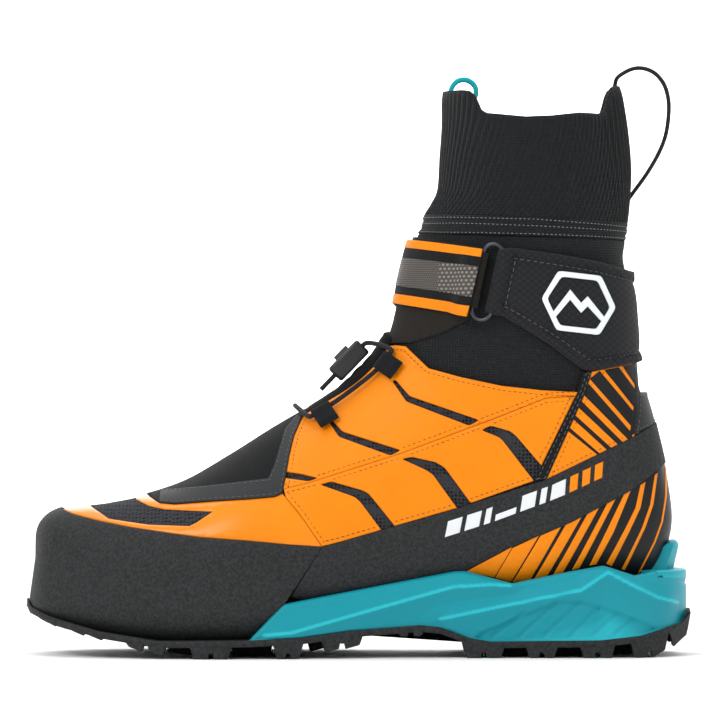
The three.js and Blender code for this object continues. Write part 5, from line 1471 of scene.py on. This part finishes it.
LOCK_FRAME = (LOCK_UP, LOCK_SIDE, LOCK_OUT)
BLACK_PLASTIC = plastic_material("black_moulded_plastic", "#17181a", 0.42)
GREY_PLASTIC = plastic_material("grey_moulded_plastic", "#3c3d40", 0.4)
POCKET_FLOOR = LOCK_HEIGHT / 2 - 5.5
lock = block("lace_lock_housing", (LOCK_LENGTH, LOCK_WIDTH, LOCK_HEIGHT), LOCK_FRAME, LOCK_AT,
             BLACK_PLASTIC, 2.6, 1.3,
             bores=[(-BORE_Y, 0, 1.5), (BORE_Y, 0, 1.5)], pocket=((8.6, 5.6, 12), POCKET_FLOOR))
settle(lock, "lace_lock", "black_plastic", "lock")
button_height = 5.5 - 3 + 1.8
button = block("lock_button_cap", (8, 5, button_height), LOCK_FRAME,
               LOCK_AT + LOCK_OUT * (POCKET_FLOOR + 3 + button_height / 2), GREY_PLASTIC, 1.0, 0.5)
settle(button, "lock_button", "button_plastic", "button")

BRAID = knit_material("braided_black_cord", "#0e0f10", "#34363a", 1.1, 0.8)
LOOPS = {"low": 9.1, "high": 11.1}
LOOP_U = 0.062


def curve_through(points, per_span=8):
    points = np.asarray(points, float)
    ends = np.vstack([2 * points[0] - points[1], points, 2 * points[-1] - points[-2]])
    out = []
    for i in range(len(points) - 1):
        p0, p1, p2, p3 = ends[i:i + 4]
        d = [max(np.linalg.norm(b - a) ** 0.5, 1e-6) for a, b in ((p0, p1), (p1, p2), (p2, p3))]
        m1 = d[1] * ((p1 - p0) / d[0] - (p2 - p0) / (d[0] + d[1]) + (p2 - p1) / d[1])
        m2 = d[1] * ((p2 - p1) / d[1] - (p3 - p1) / (d[1] + d[2]) + (p3 - p2) / d[2])
        for t in np.arange(per_span) / per_span:
            out.append((2 * t ** 3 - 3 * t ** 2 + 1) * p1 + (t ** 3 - 2 * t ** 2 + t) * m1
                       + (3 * t ** 2 - 2 * t ** 3) * p2 + (t ** 3 - t ** 2) * m2)
    out.append(points[-1])
    return np.array(out)


def lace_path():
    def strand(sign, u):
        high, up_h, _, _ = instep_frame(LOOPS["high"], u, LACE_LEVEL)
        low, up_l, _, _ = instep_frame(LOOPS["low"], u, LACE_LEVEL)
        y = sign * BORE_Y
        return [on_lock(-LOCK_LENGTH / 2 - 9, y), on_lock(-LOCK_LENGTH / 2 + 2, y), on_lock(0, y),
                on_lock(LOCK_LENGTH / 2 - 2, y), on_lock(LOCK_LENGTH / 2 + 1.5, y + sign * 0.2),
                *[high + up_h * t for t in (LOOP_WIDTH / 2 + 1.5, LOOP_WIDTH / 2 - 1, 0, -LOOP_WIDTH / 2)],
                *[low + up_l * t for t in (LOOP_WIDTH / 2 + 1, 0, -LOOP_WIDTH / 2, -LOOP_WIDTH / 2 - 1.2)]]
    outer, inner = strand(-1, LOOP_U), strand(1, 1 - LOOP_U)
    centre, up, _, out = instep_frame(LOOPS["low"], 0.0, LACE_LEVEL)
    across = centre - up * (LOOP_WIDTH / 2 + 6) + out
    return curve_through(outer + [across] + inner[::-1])


settle(tube("braided_lace", lace_path(), LACE_RADIUS, BRAID, 12), "lace", "black_cloth")


def lace_loop(height, side):
    """Webbing folded round the lace: a hairpin whose tail is sewn to the quarter's edge."""
    s, u = LOOPS[height], LOOP_U if side == "outer" else 1 - LOOP_U
    centre, up, sideways, out = instep_frame(s, u, LACE_LEVEL)
    away = sideways if np.sign(sideways[1]) == (-1 if side == "outer" else 1) else -sideways
    middle = LACE_RADIUS + 0.4 + 0.5
    profile = [(9.5, -middle + 0.9)] + [(5, -middle + 0.5), (2.4, -middle + 0.2)]
    bend = np.linspace(1.55 * math.pi, 0.42 * math.pi, 15)
    profile += [(middle * math.cos(t), middle * math.sin(t)) for t in bend]
    profile += [(2.6, middle * 0.35), (5.2, -middle + 1.6), (9.5, -middle + 1.6)]
    path = np.array([centre + away * a + out * b for a, b in profile])
    normals = np.gradient(path, axis=0)
    across = np.cross(normals, up)
    piece = tube(f"lace_loop_webbing_{height}_{side}", path, 0.5, BLACK_STRIP, 16, flat=(LOOP_WIDTH, 0.9),
                 up=across)
    settle(piece, f"lace_loop_{height}_{side}", "black_cloth")


for height in LOOPS:
    for side in SIDES:
        lace_loop(height, side)

# ------------------------------------------------------------------ pull loops
# Turquoise tape is sewn inside the cuff's front edge and a flat black cord runs from the back tab
# down to the back of the cuff.

TURQUOISE_TAPE = woven_material("turquoise_tape", "#0f9fae", "#22c0cd", 0.5, 0.7)
FRONT_LOOP = [(42.4, 251.8), (42.3, 255.5), (43.2, 259.6), (45.9, 262.6), (50.2, 263.0), (53.6, 260.4),
              (54.2, 256.4), (51.6, 252.4), (48, 250), (44.6, 249.7)]
closed_loop = rounded(FRONT_LOOP, 0.9, closed=True, smooth=True)
front_points = np.array([(x, 0, z) for x, z in closed_loop]) + SHIFT
centre_loop = front_points.mean(0)
settle(tube("front_pull_tape", front_points, 0.5, TURQUOISE_TAPE, 20, closed=True, flat=(9, 2.3),
            up=front_points - centre_loop),
       "front_pull_loop", "turquoise_tape", "front_loop")
HEEL_LOOP = [(117.8, 258.5), (118.1, 261.5), (119, 264), (121.5, 266), (126.5, 268.3), (131.5, 268.3),
             (136.5, 266), (140.5, 261), (142.5, 254), (142.5, 246), (141, 237), (138, 229.5),
             (132.5, 220), (126, 211), (123.6, 207.5), (122.6, 205)]
heel_points = curve_through(np.array([(x, 0, z) for x, z in HEEL_LOOP]) + SHIFT, 6)
tangent = np.gradient(heel_points, axis=0)
settle(tube("heel_pull_cord", heel_points, 0.8, BRAID, 16, flat=(3.6, 1.9),
            up=np.cross(tangent, (0, 1, 0))),
       "heel_pull_loop", "black_cloth", "heel_loop")

# ------------------------------------------------------------------ midsole
# A turquoise midsole of moulded foam, from the waist round the heel. Two long creases cross its
# side and a grooved facet lies under the heel.

SOLE_PLAN = [(-152, 6), (-148, -12), (-138, -27), (-120, -41), (-95, -50), (-65, -54), (-35, -52),
             (0, -46.5), (35, -43), (70, -41.5), (105, -42), (130, -37.5), (146, -23), (152.5, 0),
             (146, 23), (130, 37), (105, 40.5), (70, 39), (35, 38.5), (0, 41), (-35, 47.5), (-65, 52),
             (-95, 51.5), (-120, 46), (-138, 36), (-148, 23)]
MIDSOLE_TOP = [(-48.5, 8.5), (-33, 24.5), (-3.5, 30), (44.5, 39), (49, 39), (70, 33.5), (96.5, 39),
               (111.5, 41.5), (126, 37), (135.5, 38.6), (139, 38.6), (150, 33)]
MIDSOLE_LOW = [(-48.5, 8.5), (-26, 9.5), (-3.5, 12.5), (28.5, 15), (37.5, 14), (51, 9), (60, 7.5),
               (110, 8), (128.5, 10), (148, 15.5), (150, 19)]
CREASE_A = [(-42, 10.5), (-30, 11.6), (0, 20), (25, 27), (43, 32), (60, 33), (69, 32.5)]
CREASE_B = [(37.5, 17.5), (60, 22.2), (80, 26.2), (101, 30.5), (113, 38.5), (124, 32.6), (135, 27),
            (146, 24)]
PANEL_TOP = [(55, 11.6), (89.5, 25.8), (100, 26), (118, 21), (135.6, 14)]
GROOVES = [[(61, 9.5), (75, 20.5)], [(73, 9.5), (89, 24.3)], [(84, 9.5), (99.5, 24.6)],
           [(96, 9.5), (108.6, 22.3)],
           [(106.6, 10), (117, 19.4)], [(116, 10), (124.6, 17)]]


def sole_edge(inset_mm, step=1.0):
    """Points round the sole's plan, from the toe round the outer side, the heel and the inner side."""
    dense = rounded(SOLE_PLAN, 0.4, closed=True, smooth=True)
    lengths = np.concatenate([[0], np.cumsum(np.linalg.norm(np.diff(np.vstack([dense, dense[:1]]), axis=0),
                                                            axis=1))])
    count = int(lengths[-1] / step)
    ends = np.vstack([dense, dense[:1]])
    t = np.linspace(0, lengths[-1], count, endpoint=False)
    line = np.stack([np.interp(t, lengths, ends[:, i]) for i in (0, 1)], 1)
    tangent = np.roll(line, -2, 0) - np.roll(line, 2, 0)
    tangent /= np.linalg.norm(tangent, axis=1, keepdims=True)
    out = np.stack([tangent[:, 1], -tangent[:, 0]], 1)
    if ((line - line.mean(0)) * out).sum() < 0:
        out = -out
    return line - out * inset_mm, out


def line_at(line, x):
    xs, zs = np.array(line, float).T
    return np.interp(x, xs, zs)


def gap_to(line, p):
    """Distance of side-view points from a line, and which side they lie on: positive is above."""
    line = np.asarray(line, float)
    best = np.full(len(p), 1e9)
    side = np.zeros(len(p))
    for a, b in zip(line[:-1], line[1:]):
        d = b - a
        t = np.clip(((p - a) @ d) / (d @ d), 0, 1)
        q = p - (a + t[:, None] * d)
        distance = np.linalg.norm(q, axis=1)
        closer = distance < best
        best = np.where(closer, distance, best)
        side = np.where(closer, np.sign(d[0] * (p[:, 1] - a[1]) - d[1] * (p[:, 0] - a[0])), side)
    return best, side


def crease(p, line, rise, above, below, fade=10):
    """A roof-shaped crease along a line, which dies away towards its ends."""
    distance, side = gap_to(line, p)
    width = np.where(side > 0, above, below)
    ends = np.clip(np.minimum(p[:, 0] - line[0][0], line[-1][0] - p[:, 0]) / fade + 0.1, 0, 1)
    return rise * ends * np.clip(1 - distance / width, 0, 1)


def sculpt(p):
    """How far the midsole's side stands out at side-view points, in mm."""
    a = crease(p, CREASE_A, 1.9, 7, 13)
    b = crease(p, CREASE_B, 1.9, 6, 12, 6)
    loop = np.array(PANEL_TOP + [(140, 5), (50, 5)], float)
    in_panel = inside(p, loop)
    distance, _ = gap_to(PANEL_TOP, p)
    facet = np.where(in_panel, -1.0 * np.clip(distance / 1.2, 0, 1), 0)
    for g in GROOVES:
        distance, _ = gap_to(g, p)
        facet = facet - 0.8 * np.exp(-(distance / 0.75) ** 2)
    return np.maximum(a, b) + facet - 0.4


def foam_material(name, colour, light, dark):
    """Moulded EVA foam: a smooth skin with very fine speckle. Its colour is painted shade and painted
    highlight: darker on facets turned from the light, paler on the crests of its creases and on facets
    turned up.
    """
    material, tree, shader = blank_material(name)
    # The point attribute read here is a painted light level: low values paint shade, values near 1 paint a
    # highlight.
    painted_light = add_node(tree, "ShaderNodeAttribute", attribute_name="painted_light").outputs["Fac"]
    shade = between(tree, painted_light, linear(dark), linear(colour))
    above = add_node(tree, "ShaderNodeMapRange", {"Value": painted_light, "From Min": 0.75, "From Max": 1.0})
    speckle = pattern(tree, "Noise", 1500.0, Detail=2.0)
    surface(tree, shader, between(tree, above, shade, linear(light)), speckle, 0.5, 0.06)
    skin = pattern(tree, "Noise", 30.0, Detail=3.0)
    worn = add_node(tree, "ShaderNodeMapRange", {"Value": skin, "To Min": 0.42, "To Max": 0.58})
    tree.links.new(worn.outputs[0], shader.inputs["Roughness"])
    shader.inputs["Specular IOR Level"].default_value = 0.3
    return material


# The paler and darker colours are a painted highlight and painted shade on the turquoise.
TURQUOISE_FOAM = foam_material("turquoise_eva_foam", "#0094a3", "#22b3c0", "#007e8c")


def foam_loft(name, grid, painted_facet_light, sharp):
    """A foam solid whose section is a column of the grid, with flat ends and a painted light level at each
    point, from painted shade to painted highlight.
    """
    rows, across = grid.shape[:2]
    faces = []
    for i in range(rows):
        k = (i + 1) % rows
        for j in range(across - 1):
            faces.append((i * across + j, i * across + j + 1, k * across + j + 1, k * across + j))
    faces.append(tuple(i * across for i in range(rows)))
    faces.append(tuple(i * across + across - 1 for i in range(rows))[::-1])
    piece = mesh_object(name, grid.reshape(-1, 3), faces, TURQUOISE_FOAM)
    painted_light = piece.data.attributes.new("painted_light", "FLOAT", "POINT")
    painted_light.data.foreach_set("value", painted_facet_light.astype(np.float32))
    face_out(piece).data.set_sharp_from_angle(angle=math.radians(sharp))
    return piece


def midsole():
    line, out = sole_edge(1.5, 1.0)
    start = int(np.argmin(np.hypot(line[:, 0] + 48.5, line[:, 1] + 51.5)))
    end = int(np.argmin(np.hypot(line[:, 0] + 48.5, line[:, 1] - 49)))
    index = np.arange(start, end + 1)
    line, out = line[index], out[index]
    x = line[:, 0]
    top, low = line_at(MIDSOLE_TOP, x), line_at(MIDSOLE_LOW, x)
    low = np.minimum(low, top - 0.3)
    rows = []
    # Painted light for each point: the rows under the foam painted dark, the crests of the creases painted
    # pale as a highlight, facets above a crease painted lighter and facets below it darker as light from
    # above falls, and the top rows painted light.
    painted_facet_light = []
    v = np.linspace(0, 1, 34)
    for depth in (9.0, 1.0):
        rows.append((line - out * depth, low))
        painted_facet_light.append(np.full(len(x), 0.4))
    for t in v:
        z = low + (top - low) * t
        p = np.stack([x, z], 1)
        rise = sculpt(p)
        edge = np.clip((top - z) / 1.6, 0, 1)
        rise = rise - 1.2 * (1 - np.sqrt(np.clip(1 - (1 - edge) ** 2, 0, 1)))
        rise = rise * np.clip((z - low) / 0.8 + 0.3, 0, 1)
        rows.append((line + out * rise[:, None], z))
        near_a, side_a = gap_to(CREASE_A, p)
        near_b, side_b = gap_to(CREASE_B, p)
        facing = np.where(near_a < near_b, side_a, side_b)
        near = np.minimum(near_a, near_b)
        painted_facet_light.append(np.clip(np.exp(-(near / 0.7) ** 2) + np.where(facing > 0, 0.72, 0.3 + 0.03 * near), 0,
                              1))
    for depth, rise in ((2.5, 0.25), (4.5, 0.0), (9.0, -1.0)):
        rows.append((line - out * depth, top + rise))
        painted_facet_light.append(np.full(len(x), 0.75))
    grid = np.array([np.stack([xy[:, 0], xy[:, 1], z], 1) for xy, z in rows]) + SHIFT
    return foam_loft("midsole_foam", grid, np.concatenate(painted_facet_light), 50)


settle(midsole(), "midsole", "turquoise_foam")

# ------------------------------------------------------------------ heel ledge
# A harder turquoise ledge is moulded round the back of the heel for a crampon's clip, with a fin
# that stands up the middle of the heel.


def ledge():
    line, out = sole_edge(0.4, 1.0)
    index = np.where(line[:, 0] > 136.3)[0]
    line, out = line[index], out[index]
    profile = [(12.5, 33), (11.2, 27.6), (10.6, 26.8), (4.6, 26.8), (3.9, 27.1), (3.4, 28.2), (1.7, 34.5),
               (1.5, 36), (1.5, 38.4), (1.9, 39.0), (2.6, 39.2), (8.0, 39.4), (13.0, 39.0)]
    grid = np.array([np.column_stack([line - out * d, np.full(len(line), z)]) for d, z in profile]) + SHIFT
    # Painted light for each profile row: the top edge painted brightest as a highlight, facets turned down
    # painted darker as shade.
    painted_facet_light = np.repeat([0.5, 0.4, 0.35, 0.4, 0.9, 0.8, 0.7, 0.85, 0.8, 1.0, 0.8, 0.75, 0.7], len(line))
    return foam_loft("crampon_ledge", grid, painted_facet_light, 55)


def ledge_fin():
    outline = np.array([(144.6, 39.0), (145.2, 41), (145.6, 43.2), (146.6, 47), (147.1, 49.6),
                        (147.0, 50.8), (146.2, 52.0), (145.0, 52.5), (143.8, 52.2), (142.5, 51),
                        (140.4, 46.5), (139, 43), (138.2, 39.0)])
    y = np.linspace(-15, 15, 31)
    grid = []
    for x, z in outline:
        narrow = np.clip((z - 41) / 11, 0, 1) ** 2 * 2.5
        row_y = y * (15 - narrow) / 15
        bend = (27 - np.sqrt(27 ** 2 - row_y ** 2)) * 0.9
        low = np.where(z > 50, (np.abs(y) / 15) ** 4 * 1.5, 0)
        grid.append(np.column_stack([x - bend, row_y, np.full(31, z) - low]))
    grid = np.array(grid) + SHIFT
    # The fin is painted at one light level, between the painted shade and the painted highlight.
    return foam_loft("ledge_fin", grid, np.full(len(outline) * len(y), 0.78), 55)


settle(ledge(), "heel_ledge", "turquoise_foam")
settle(ledge_fin(), None, "turquoise_foam")

# ------------------------------------------------------------------ outsole
# One sheet of black sticky rubber with deep lugs: long ones round the edge, each with a small notch,
# and a second set down the middle.

SHEET = 3.0  # the rubber's thickness between the lugs, in mm
SOLE_RUBBER = rubber_material("black_sole_rubber", "#28292a", 1.3, 0.68, 0.06)
OUTSOLE_TOP = [(-152, 25.5), (-150, 22), (-140, 18), (-117, 12), (-90, 8)] + MIDSOLE_LOW + [(152, 21)]
GROUND = [(-152, 22), (-149, 18.5), (-140, 14.5), (-117, 8.5), (-90, 2), (-76, 0), (-27, 0), (-20, 2),
          (-1, 5.5), (19.5, 10), (30.5, 10), (44, 3), (49, 0), (132, 0), (140, 3), (149, 7.5), (152.5, 12)]
EDGE_LUGS = [(-145.5, -136.5), (-129.5, -115), (-103.5, -87.5), (-74, -58), (-36.5, -26), (-15, 1),
             (19, 29), (49, 65), (77.5, 89), (102, 115), (125, 139.5), (143, 150)]
MIDDLE_LUGS = [(-136, -125, 1), (-112, -99, 2), (-86, -72, 2), (-56, -40, 2), (-22, -12, 1), (66, 76, 2),
               (90, 101, 2), (116, 126, 1)]


def sole_sheet():
    """The rubber between the lugs: it follows the sole's plan, curls up at the toe and has a thin lip."""
    line, out = sole_edge(0.0, 1.6)
    rings = []
    for depth, share in ((0.5, 0.0), (0.0, 0.25), (0.0, 0.8), (0.5, 1.0)):
        z = line_at(OUTSOLE_TOP, line[:, 0]) - SHEET + SHEET * share
        rings.append(np.column_stack([line - out * depth, z]))
    for share in (0.75, 0.5, 0.25, 0.02):
        p = (line - out * 0.5) * [1, share]
        rings.append(np.column_stack([p, line_at(OUTSOLE_TOP, p[:, 0])]))
    inner = []
    for share in (0.02, 0.25, 0.5, 0.75):
        p = line * [1, share]
        inner.append(np.column_stack([p, line_at(OUTSOLE_TOP, p[:, 0]) - SHEET]))
    grid = np.array(inner + rings) + SHIFT
    rows, across = grid.shape[:2]
    faces = []
    for i in range(rows - 1):
        for j in range(across):
            m = (j + 1) % across
            faces.append((i * across + j, i * across + m, (i + 1) * across + m, (i + 1) * across + j))
    return mesh_object("outsole_sheet", grid.reshape(-1, 3), faces, SOLE_RUBBER)


def edge_y(line, x, sign):
    """Half-width of the sole at x on one side."""
    points = line[np.sign(line[:, 1]) == sign]
    order = np.argsort(points[:, 0])
    return np.interp(x, points[order, 0], points[order, 1])


def lug(x0, x1, y0, y1, notch):
    """A lug under the sheet between two x, tapered towards the ground, from y0 to y1, functions of x."""
    spread = 2.0
    low0, low1 = float(line_at(GROUND, x0)), float(line_at(GROUND, x1))
    middle = (x0 + x1) / 2
    ground = lambda x: float(line_at(GROUND, x))
    root = lambda x: float(line_at(OUTSOLE_TOP, x)) - 1.2
    side = [(x0 - spread, root(x0 - spread))]
    side += [(x0 - spread * 0.45, (root(x0) + low0) / 2), (x0, low0 + 0.5), (x0 + 0.7, low0)]
    if notch:
        side += [(middle - 1.6, ground(middle)), (middle - 1.1, ground(middle) + 2.4),
                 (middle + 1.1, ground(middle) + 2.4),
                 (middle + 1.6, ground(middle))]
    side += [(x1 - 0.7, low1), (x1, low1 + 0.5), (x1 + spread * 0.45, (root(x1) + low1) / 2),
             (x1 + spread, root(x1 + spread))]
    side += [(middle, root(middle))]
    count = len(side)
    vertices = []
    direction = np.sign(y1(middle) - y0(middle))
    layers = [(y0, 0.0, 0.6), (y0, 0.6, 0.0), (y1, -0.6, 0.0), (y1, 0.0, 0.6)]
    for y_of, move, lift_by in layers:
        for x, z in side:
            shrink = lift_by * (1 if z < root(x) - 1.5 else 0)
            vertices.append((x + np.sign(middle - x) * shrink * 0.4, y_of(x) + direction * move,
                             z + shrink * 0.7))
    faces = []
    for layer in range(3):
        for k in range(count):
            m = (k + 1) % count
            faces.append((layer * count + k, layer * count + m, (layer + 1) * count + m,
                          (layer + 1) * count + k))
    faces.append(tuple(range(count)))
    faces.append(tuple(3 * count + k for k in range(count))[::-1])
    return np.array(vertices) + SHIFT, faces


def sole_lugs():
    line, _ = sole_edge(0.15, 0.8)
    vertices, faces, base = [], [], 0
    for x0, x1 in EDGE_LUGS:
        for sign in (-1, 1):
            reach = 15 if -140 < (x0 + x1) / 2 < 140 else 11
            outer = lambda x: float(edge_y(line, np.clip(x, -149, 149.5), sign))
            inner = lambda x: outer(x) - sign * min(reach, abs(outer(x)) * 0.75)
            points, some = lug(x0, x1, outer, inner, x1 - x0 > 9)
            vertices.append(points)
            faces += [tuple(v + base for v in f) for f in some]
            base += len(points)
    for x0, x1, rows in MIDDLE_LUGS:
        for low, high in ([(-7, 7)] if rows == 1 else [(-19, -4), (4, 19)]):
            points, some = lug(x0, x1, lambda x: low, lambda x: high, False)
            vertices.append(points)
            faces += [tuple(v + base for v in f) for f in some]
            base += len(points)
    piece = face_out(mesh_object("outsole_lugs", np.vstack(vertices), faces, SOLE_RUBBER))
    piece.data.set_sharp_from_angle(angle=math.radians(35))
    return piece


sheet_piece = sole_sheet()
bm = bmesh.new()
bm.from_mesh(sheet_piece.data)
bmesh.ops.holes_fill(bm, edges=bm.edges, sides=0)
bmesh.ops.recalc_face_normals(bm, faces=bm.faces)
bm.to_mesh(sheet_piece.data)
bm.free()
sheet_piece.data.set_sharp_from_angle(angle=math.radians(50))
settle(sheet_piece, "outsole", "sole_rubber")
settle(sole_lugs(), None, "sole_rubber")

# ------------------------------------------------------------------ stitching
# Bonded polyester thread holds the panels: single rows round each film panel, a row in the collar's
# channel, and three pale rows round the seam of the cuff.


def stitch_tree():
    """Geometry nodes that lay stitches of thread along the edges of a mesh."""
    tree = bpy.data.node_groups.new("stitches_along_line", "GeometryNodeTree")
    tree.interface.new_socket("Line", in_out="INPUT", socket_type="NodeSocketGeometry")
    for label, value in (("Pitch", 0.003), ("Length", 0.0022), ("Radius", 0.0003)):
        tree.interface.new_socket(label, in_out="INPUT",
                                  socket_type="NodeSocketFloat").default_value = value
    tree.interface.new_socket("Thread", in_out="INPUT", socket_type="NodeSocketMaterial")
    tree.interface.new_socket("Stitches", in_out="OUTPUT", socket_type="NodeSocketGeometry")
    given = tree.nodes.new("NodeGroupInput")
    curve = add_node(tree, "GeometryNodeMeshToCurve", {"Mesh": given.outputs["Line"]})
    points = add_node(tree, "GeometryNodeCurveToPoints", {"Curve": curve, "Length": given.outputs["Pitch"]},
                      mode="LENGTH")
    ball = add_node(tree, "GeometryNodeMeshUVSphere", {"Segments": 6, "Rings": 4, "Radius": 1.0})
    half_length = add_node(tree, "ShaderNodeMath", {0: given.outputs["Length"], 1: 0.5},
                           operation="MULTIPLY")
    size = add_node(tree, "ShaderNodeCombineXYZ",
                    {0: given.outputs["Radius"], 1: given.outputs["Radius"], 2: half_length})
    thread = add_node(tree, "GeometryNodeTransform", {"Geometry": ball.outputs["Mesh"], "Scale": size})
    vary = add_node(tree, "FunctionNodeRandomValue", {2: 0.9, 3: 1.1, "Seed": 7}, data_type="FLOAT")
    placed = add_node(tree, "GeometryNodeInstanceOnPoints",
                      {"Points": points.outputs["Points"], "Instance": thread,
                       "Rotation": points.outputs["Rotation"],
                       "Scale": vary.outputs[1]})
    real = add_node(tree, "GeometryNodeRealizeInstances", {"Geometry": placed})
    smooth = add_node(tree, "GeometryNodeSetShadeSmooth", {"Geometry": real})
    dyed = add_node(tree, "GeometryNodeSetMaterial",
                    {"Geometry": smooth, "Material": given.outputs["Thread"]})
    add_node(tree, "NodeGroupOutput", {"Stitches": dyed})
    return tree


STITCHES = stitch_tree()


def thread_material(name, colour):
    """Twisted polyester thread."""
    material, tree, shader = blank_material(name)
    surface(tree, shader, colour, pattern(tree, "Noise", 3000.0), 0.5, 0.1)
    shader.inputs["Roughness"].default_value = 0.6
    return material


def sew(name, lines, thread, pitch=3.0, length=2.2, radius=0.3, slot_name="print"):
    """Rows of stitches along lines of points in mm, in the boot's frame. A line is (points, closed)."""
    vertices, edges = [], []
    for points, closed in lines:
        base = len(vertices)
        vertices += [tuple(np.asarray(p) * MM) for p in points]
        edges += [(base + i, base + i + 1) for i in range(len(points) - 1)]
        if closed:
            edges.append((base + len(points) - 1, base))
    mesh = bpy.data.meshes.new(name + "_line")
    mesh.from_pydata(vertices, edges, [])
    line = in_scene(name + "_line", mesh)
    modifier = line.modifiers.new("stitches", "NODES")
    modifier.node_group = STITCHES
    values = {"Pitch": pitch * MM, "Length": length * MM, "Radius": radius * MM, "Thread": thread}
    for item in STITCHES.interface.items_tree:
        if item.item_type == "SOCKET" and item.in_out == "INPUT" and item.name in values:
            modifier[item.identifier] = values[item.name]
    evaluated = line.evaluated_get(bpy.context.evaluated_depsgraph_get())
    made = bpy.data.meshes.new_from_object(evaluated)
    made.name = name
    bpy.data.objects.remove(line)
    if not made.materials:
        made.materials.append(thread)
    return settle(in_scene(name, made), None, slot_name)


def seam(line, height, side="outer"):
    """A line of stations and side positions as points at a height."""
    line = np.asarray(line) * ([1, 1] if side == "outer" else [1, -1])
    return on_foot(line[:, 0], line[:, 1], np.full(len(line), float(height)))


ORANGE_THREAD = thread_material("dark_orange_thread", "#7a4200")
BLACK_THREAD = thread_material("black_thread", "#4a4b4e")
PALE_THREAD = thread_material("pale_grey_thread", "#8b8d90")


def clear_of(loop, holes):
    """The stretches of a closed row that keep out of the slots."""
    free = np.ones(len(loop), bool)
    for hole in holes:
        free &= ~inside(loop, turned_in(tidy_loop(hole), -1.3))
    if free.all():
        return [loop]
    start = int(np.argmin(free))
    runs, run = [], []
    for p, keep in zip(np.roll(loop, -start, 0), np.roll(free, -start)):
        if keep:
            run.append(p)
        elif len(run) > 3:
            runs.append(np.array(run))
        if not keep:
            run = []
    return runs + ([np.array(run)] if len(run) > 3 else [])


rows = []
for side in SIDES:
    for loop, slots in ((high_line, SLOTS_HIGH), (low_line, SLOTS_LOW)):
        holes = [loop_of(soft_corners(h), step=0.8) for h in slots]
        runs = clear_of(turned_in(tidy_loop(loop), 2.0), holes)
        rows += [(seam(run, 2.62, side), len(runs) == 1) for run in runs]
    rows.append((seam(turned_in(tidy_loop(loop_of(HEEL_SIDE, step=1.0)), 1.8), 2.6, side), True))
sew("orange_panel_stitches", rows, ORANGE_THREAD, 2.4, 1.5, 0.22, "orange_film")

rows = []
for side in SIDES:
    rows.append((seam(turned_in(tidy_loop(loop_of(STAY_STRIP, step=0.9)), 0.9), 3.22, side), True))
    rows.append((seam(turned_in(tidy_loop(loop_of(border, step=0.9)), 1.1), 3.28, side), True))
rows.append((seam(turned_in(tidy_loop(tab_loop), 1.3), 2.75), True))
sew("black_stitches", rows, BLACK_THREAD, 2.8, 2.0, 0.24, "black_cloth")

rows = [(seam(turned_in(tidy_loop(collar_loop), 4.5), 3.45), True)]
for side in SIDES:
    rows.append((seam(trace([(71.0, 178.5), (67.1, 160.5)], level=4.5), 4.45, side), False))
sew("collar_stitches", rows, BLACK_THREAD, 3.0, 2.2, 0.28, "black_cloth")

rows = []
u_round = np.linspace(0, 1, 260, endpoint=False)
for line in ([(-10, 200.3), (43, 199.3), (80, 198.4), (118, 195.9), (150, 194)],
             [(-10, 197.6), (43, 196.8), (80, 195.4), (118, 193.7), (150, 192.5)],
             [(-10, 193.4), (43, 192.7), (80, 191.7), (118, 190.5), (150, 189.5)]):
    rows.append((on_foot(height_line(line, u_round), u_round, np.full(260, 0.95)), True))
sew("cuff_seam_stitches", rows, PALE_THREAD, 2.0, 1.1, 0.17, "knit")

# ------------------------------------------------------------------ inside the boot
# Footbed, lasting board, carbon plate and forefoot foam are hidden by the upper; so is the spring
# under the lock's button. They keep the CAD's own meshes.

FOOTBED_FOAM = film_material("grey_footbed_foam", "#55575b", 0.95, grain_mm=1.2)
BOARD_FIBRE = film_material("lasting_board_fibre", "#6b6459", 0.9, grain_mm=0.8)
CARBON = woven_material("carbon_twill", "#0c0c0d", "#2a2a2d", 1.2, 0.35, 0.0)
DARK_FOAM = film_material("dark_eva_foam", "#3f4144", 0.9, grain_mm=0.9)
SPRING_STEEL = metal_material("bright_spring_steel", "#b4b6ba", 0.25)
for node, material in (("footbed", FOOTBED_FOAM), ("lasting_board", BOARD_FIBRE), ("carbon_plate", CARBON),
                       ("forefoot_midsole", DARK_FOAM), ("lock_spring", SPRING_STEEL)):
    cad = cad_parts[node]
    cad.data.materials.clear()
    cad.data.materials.append(material)
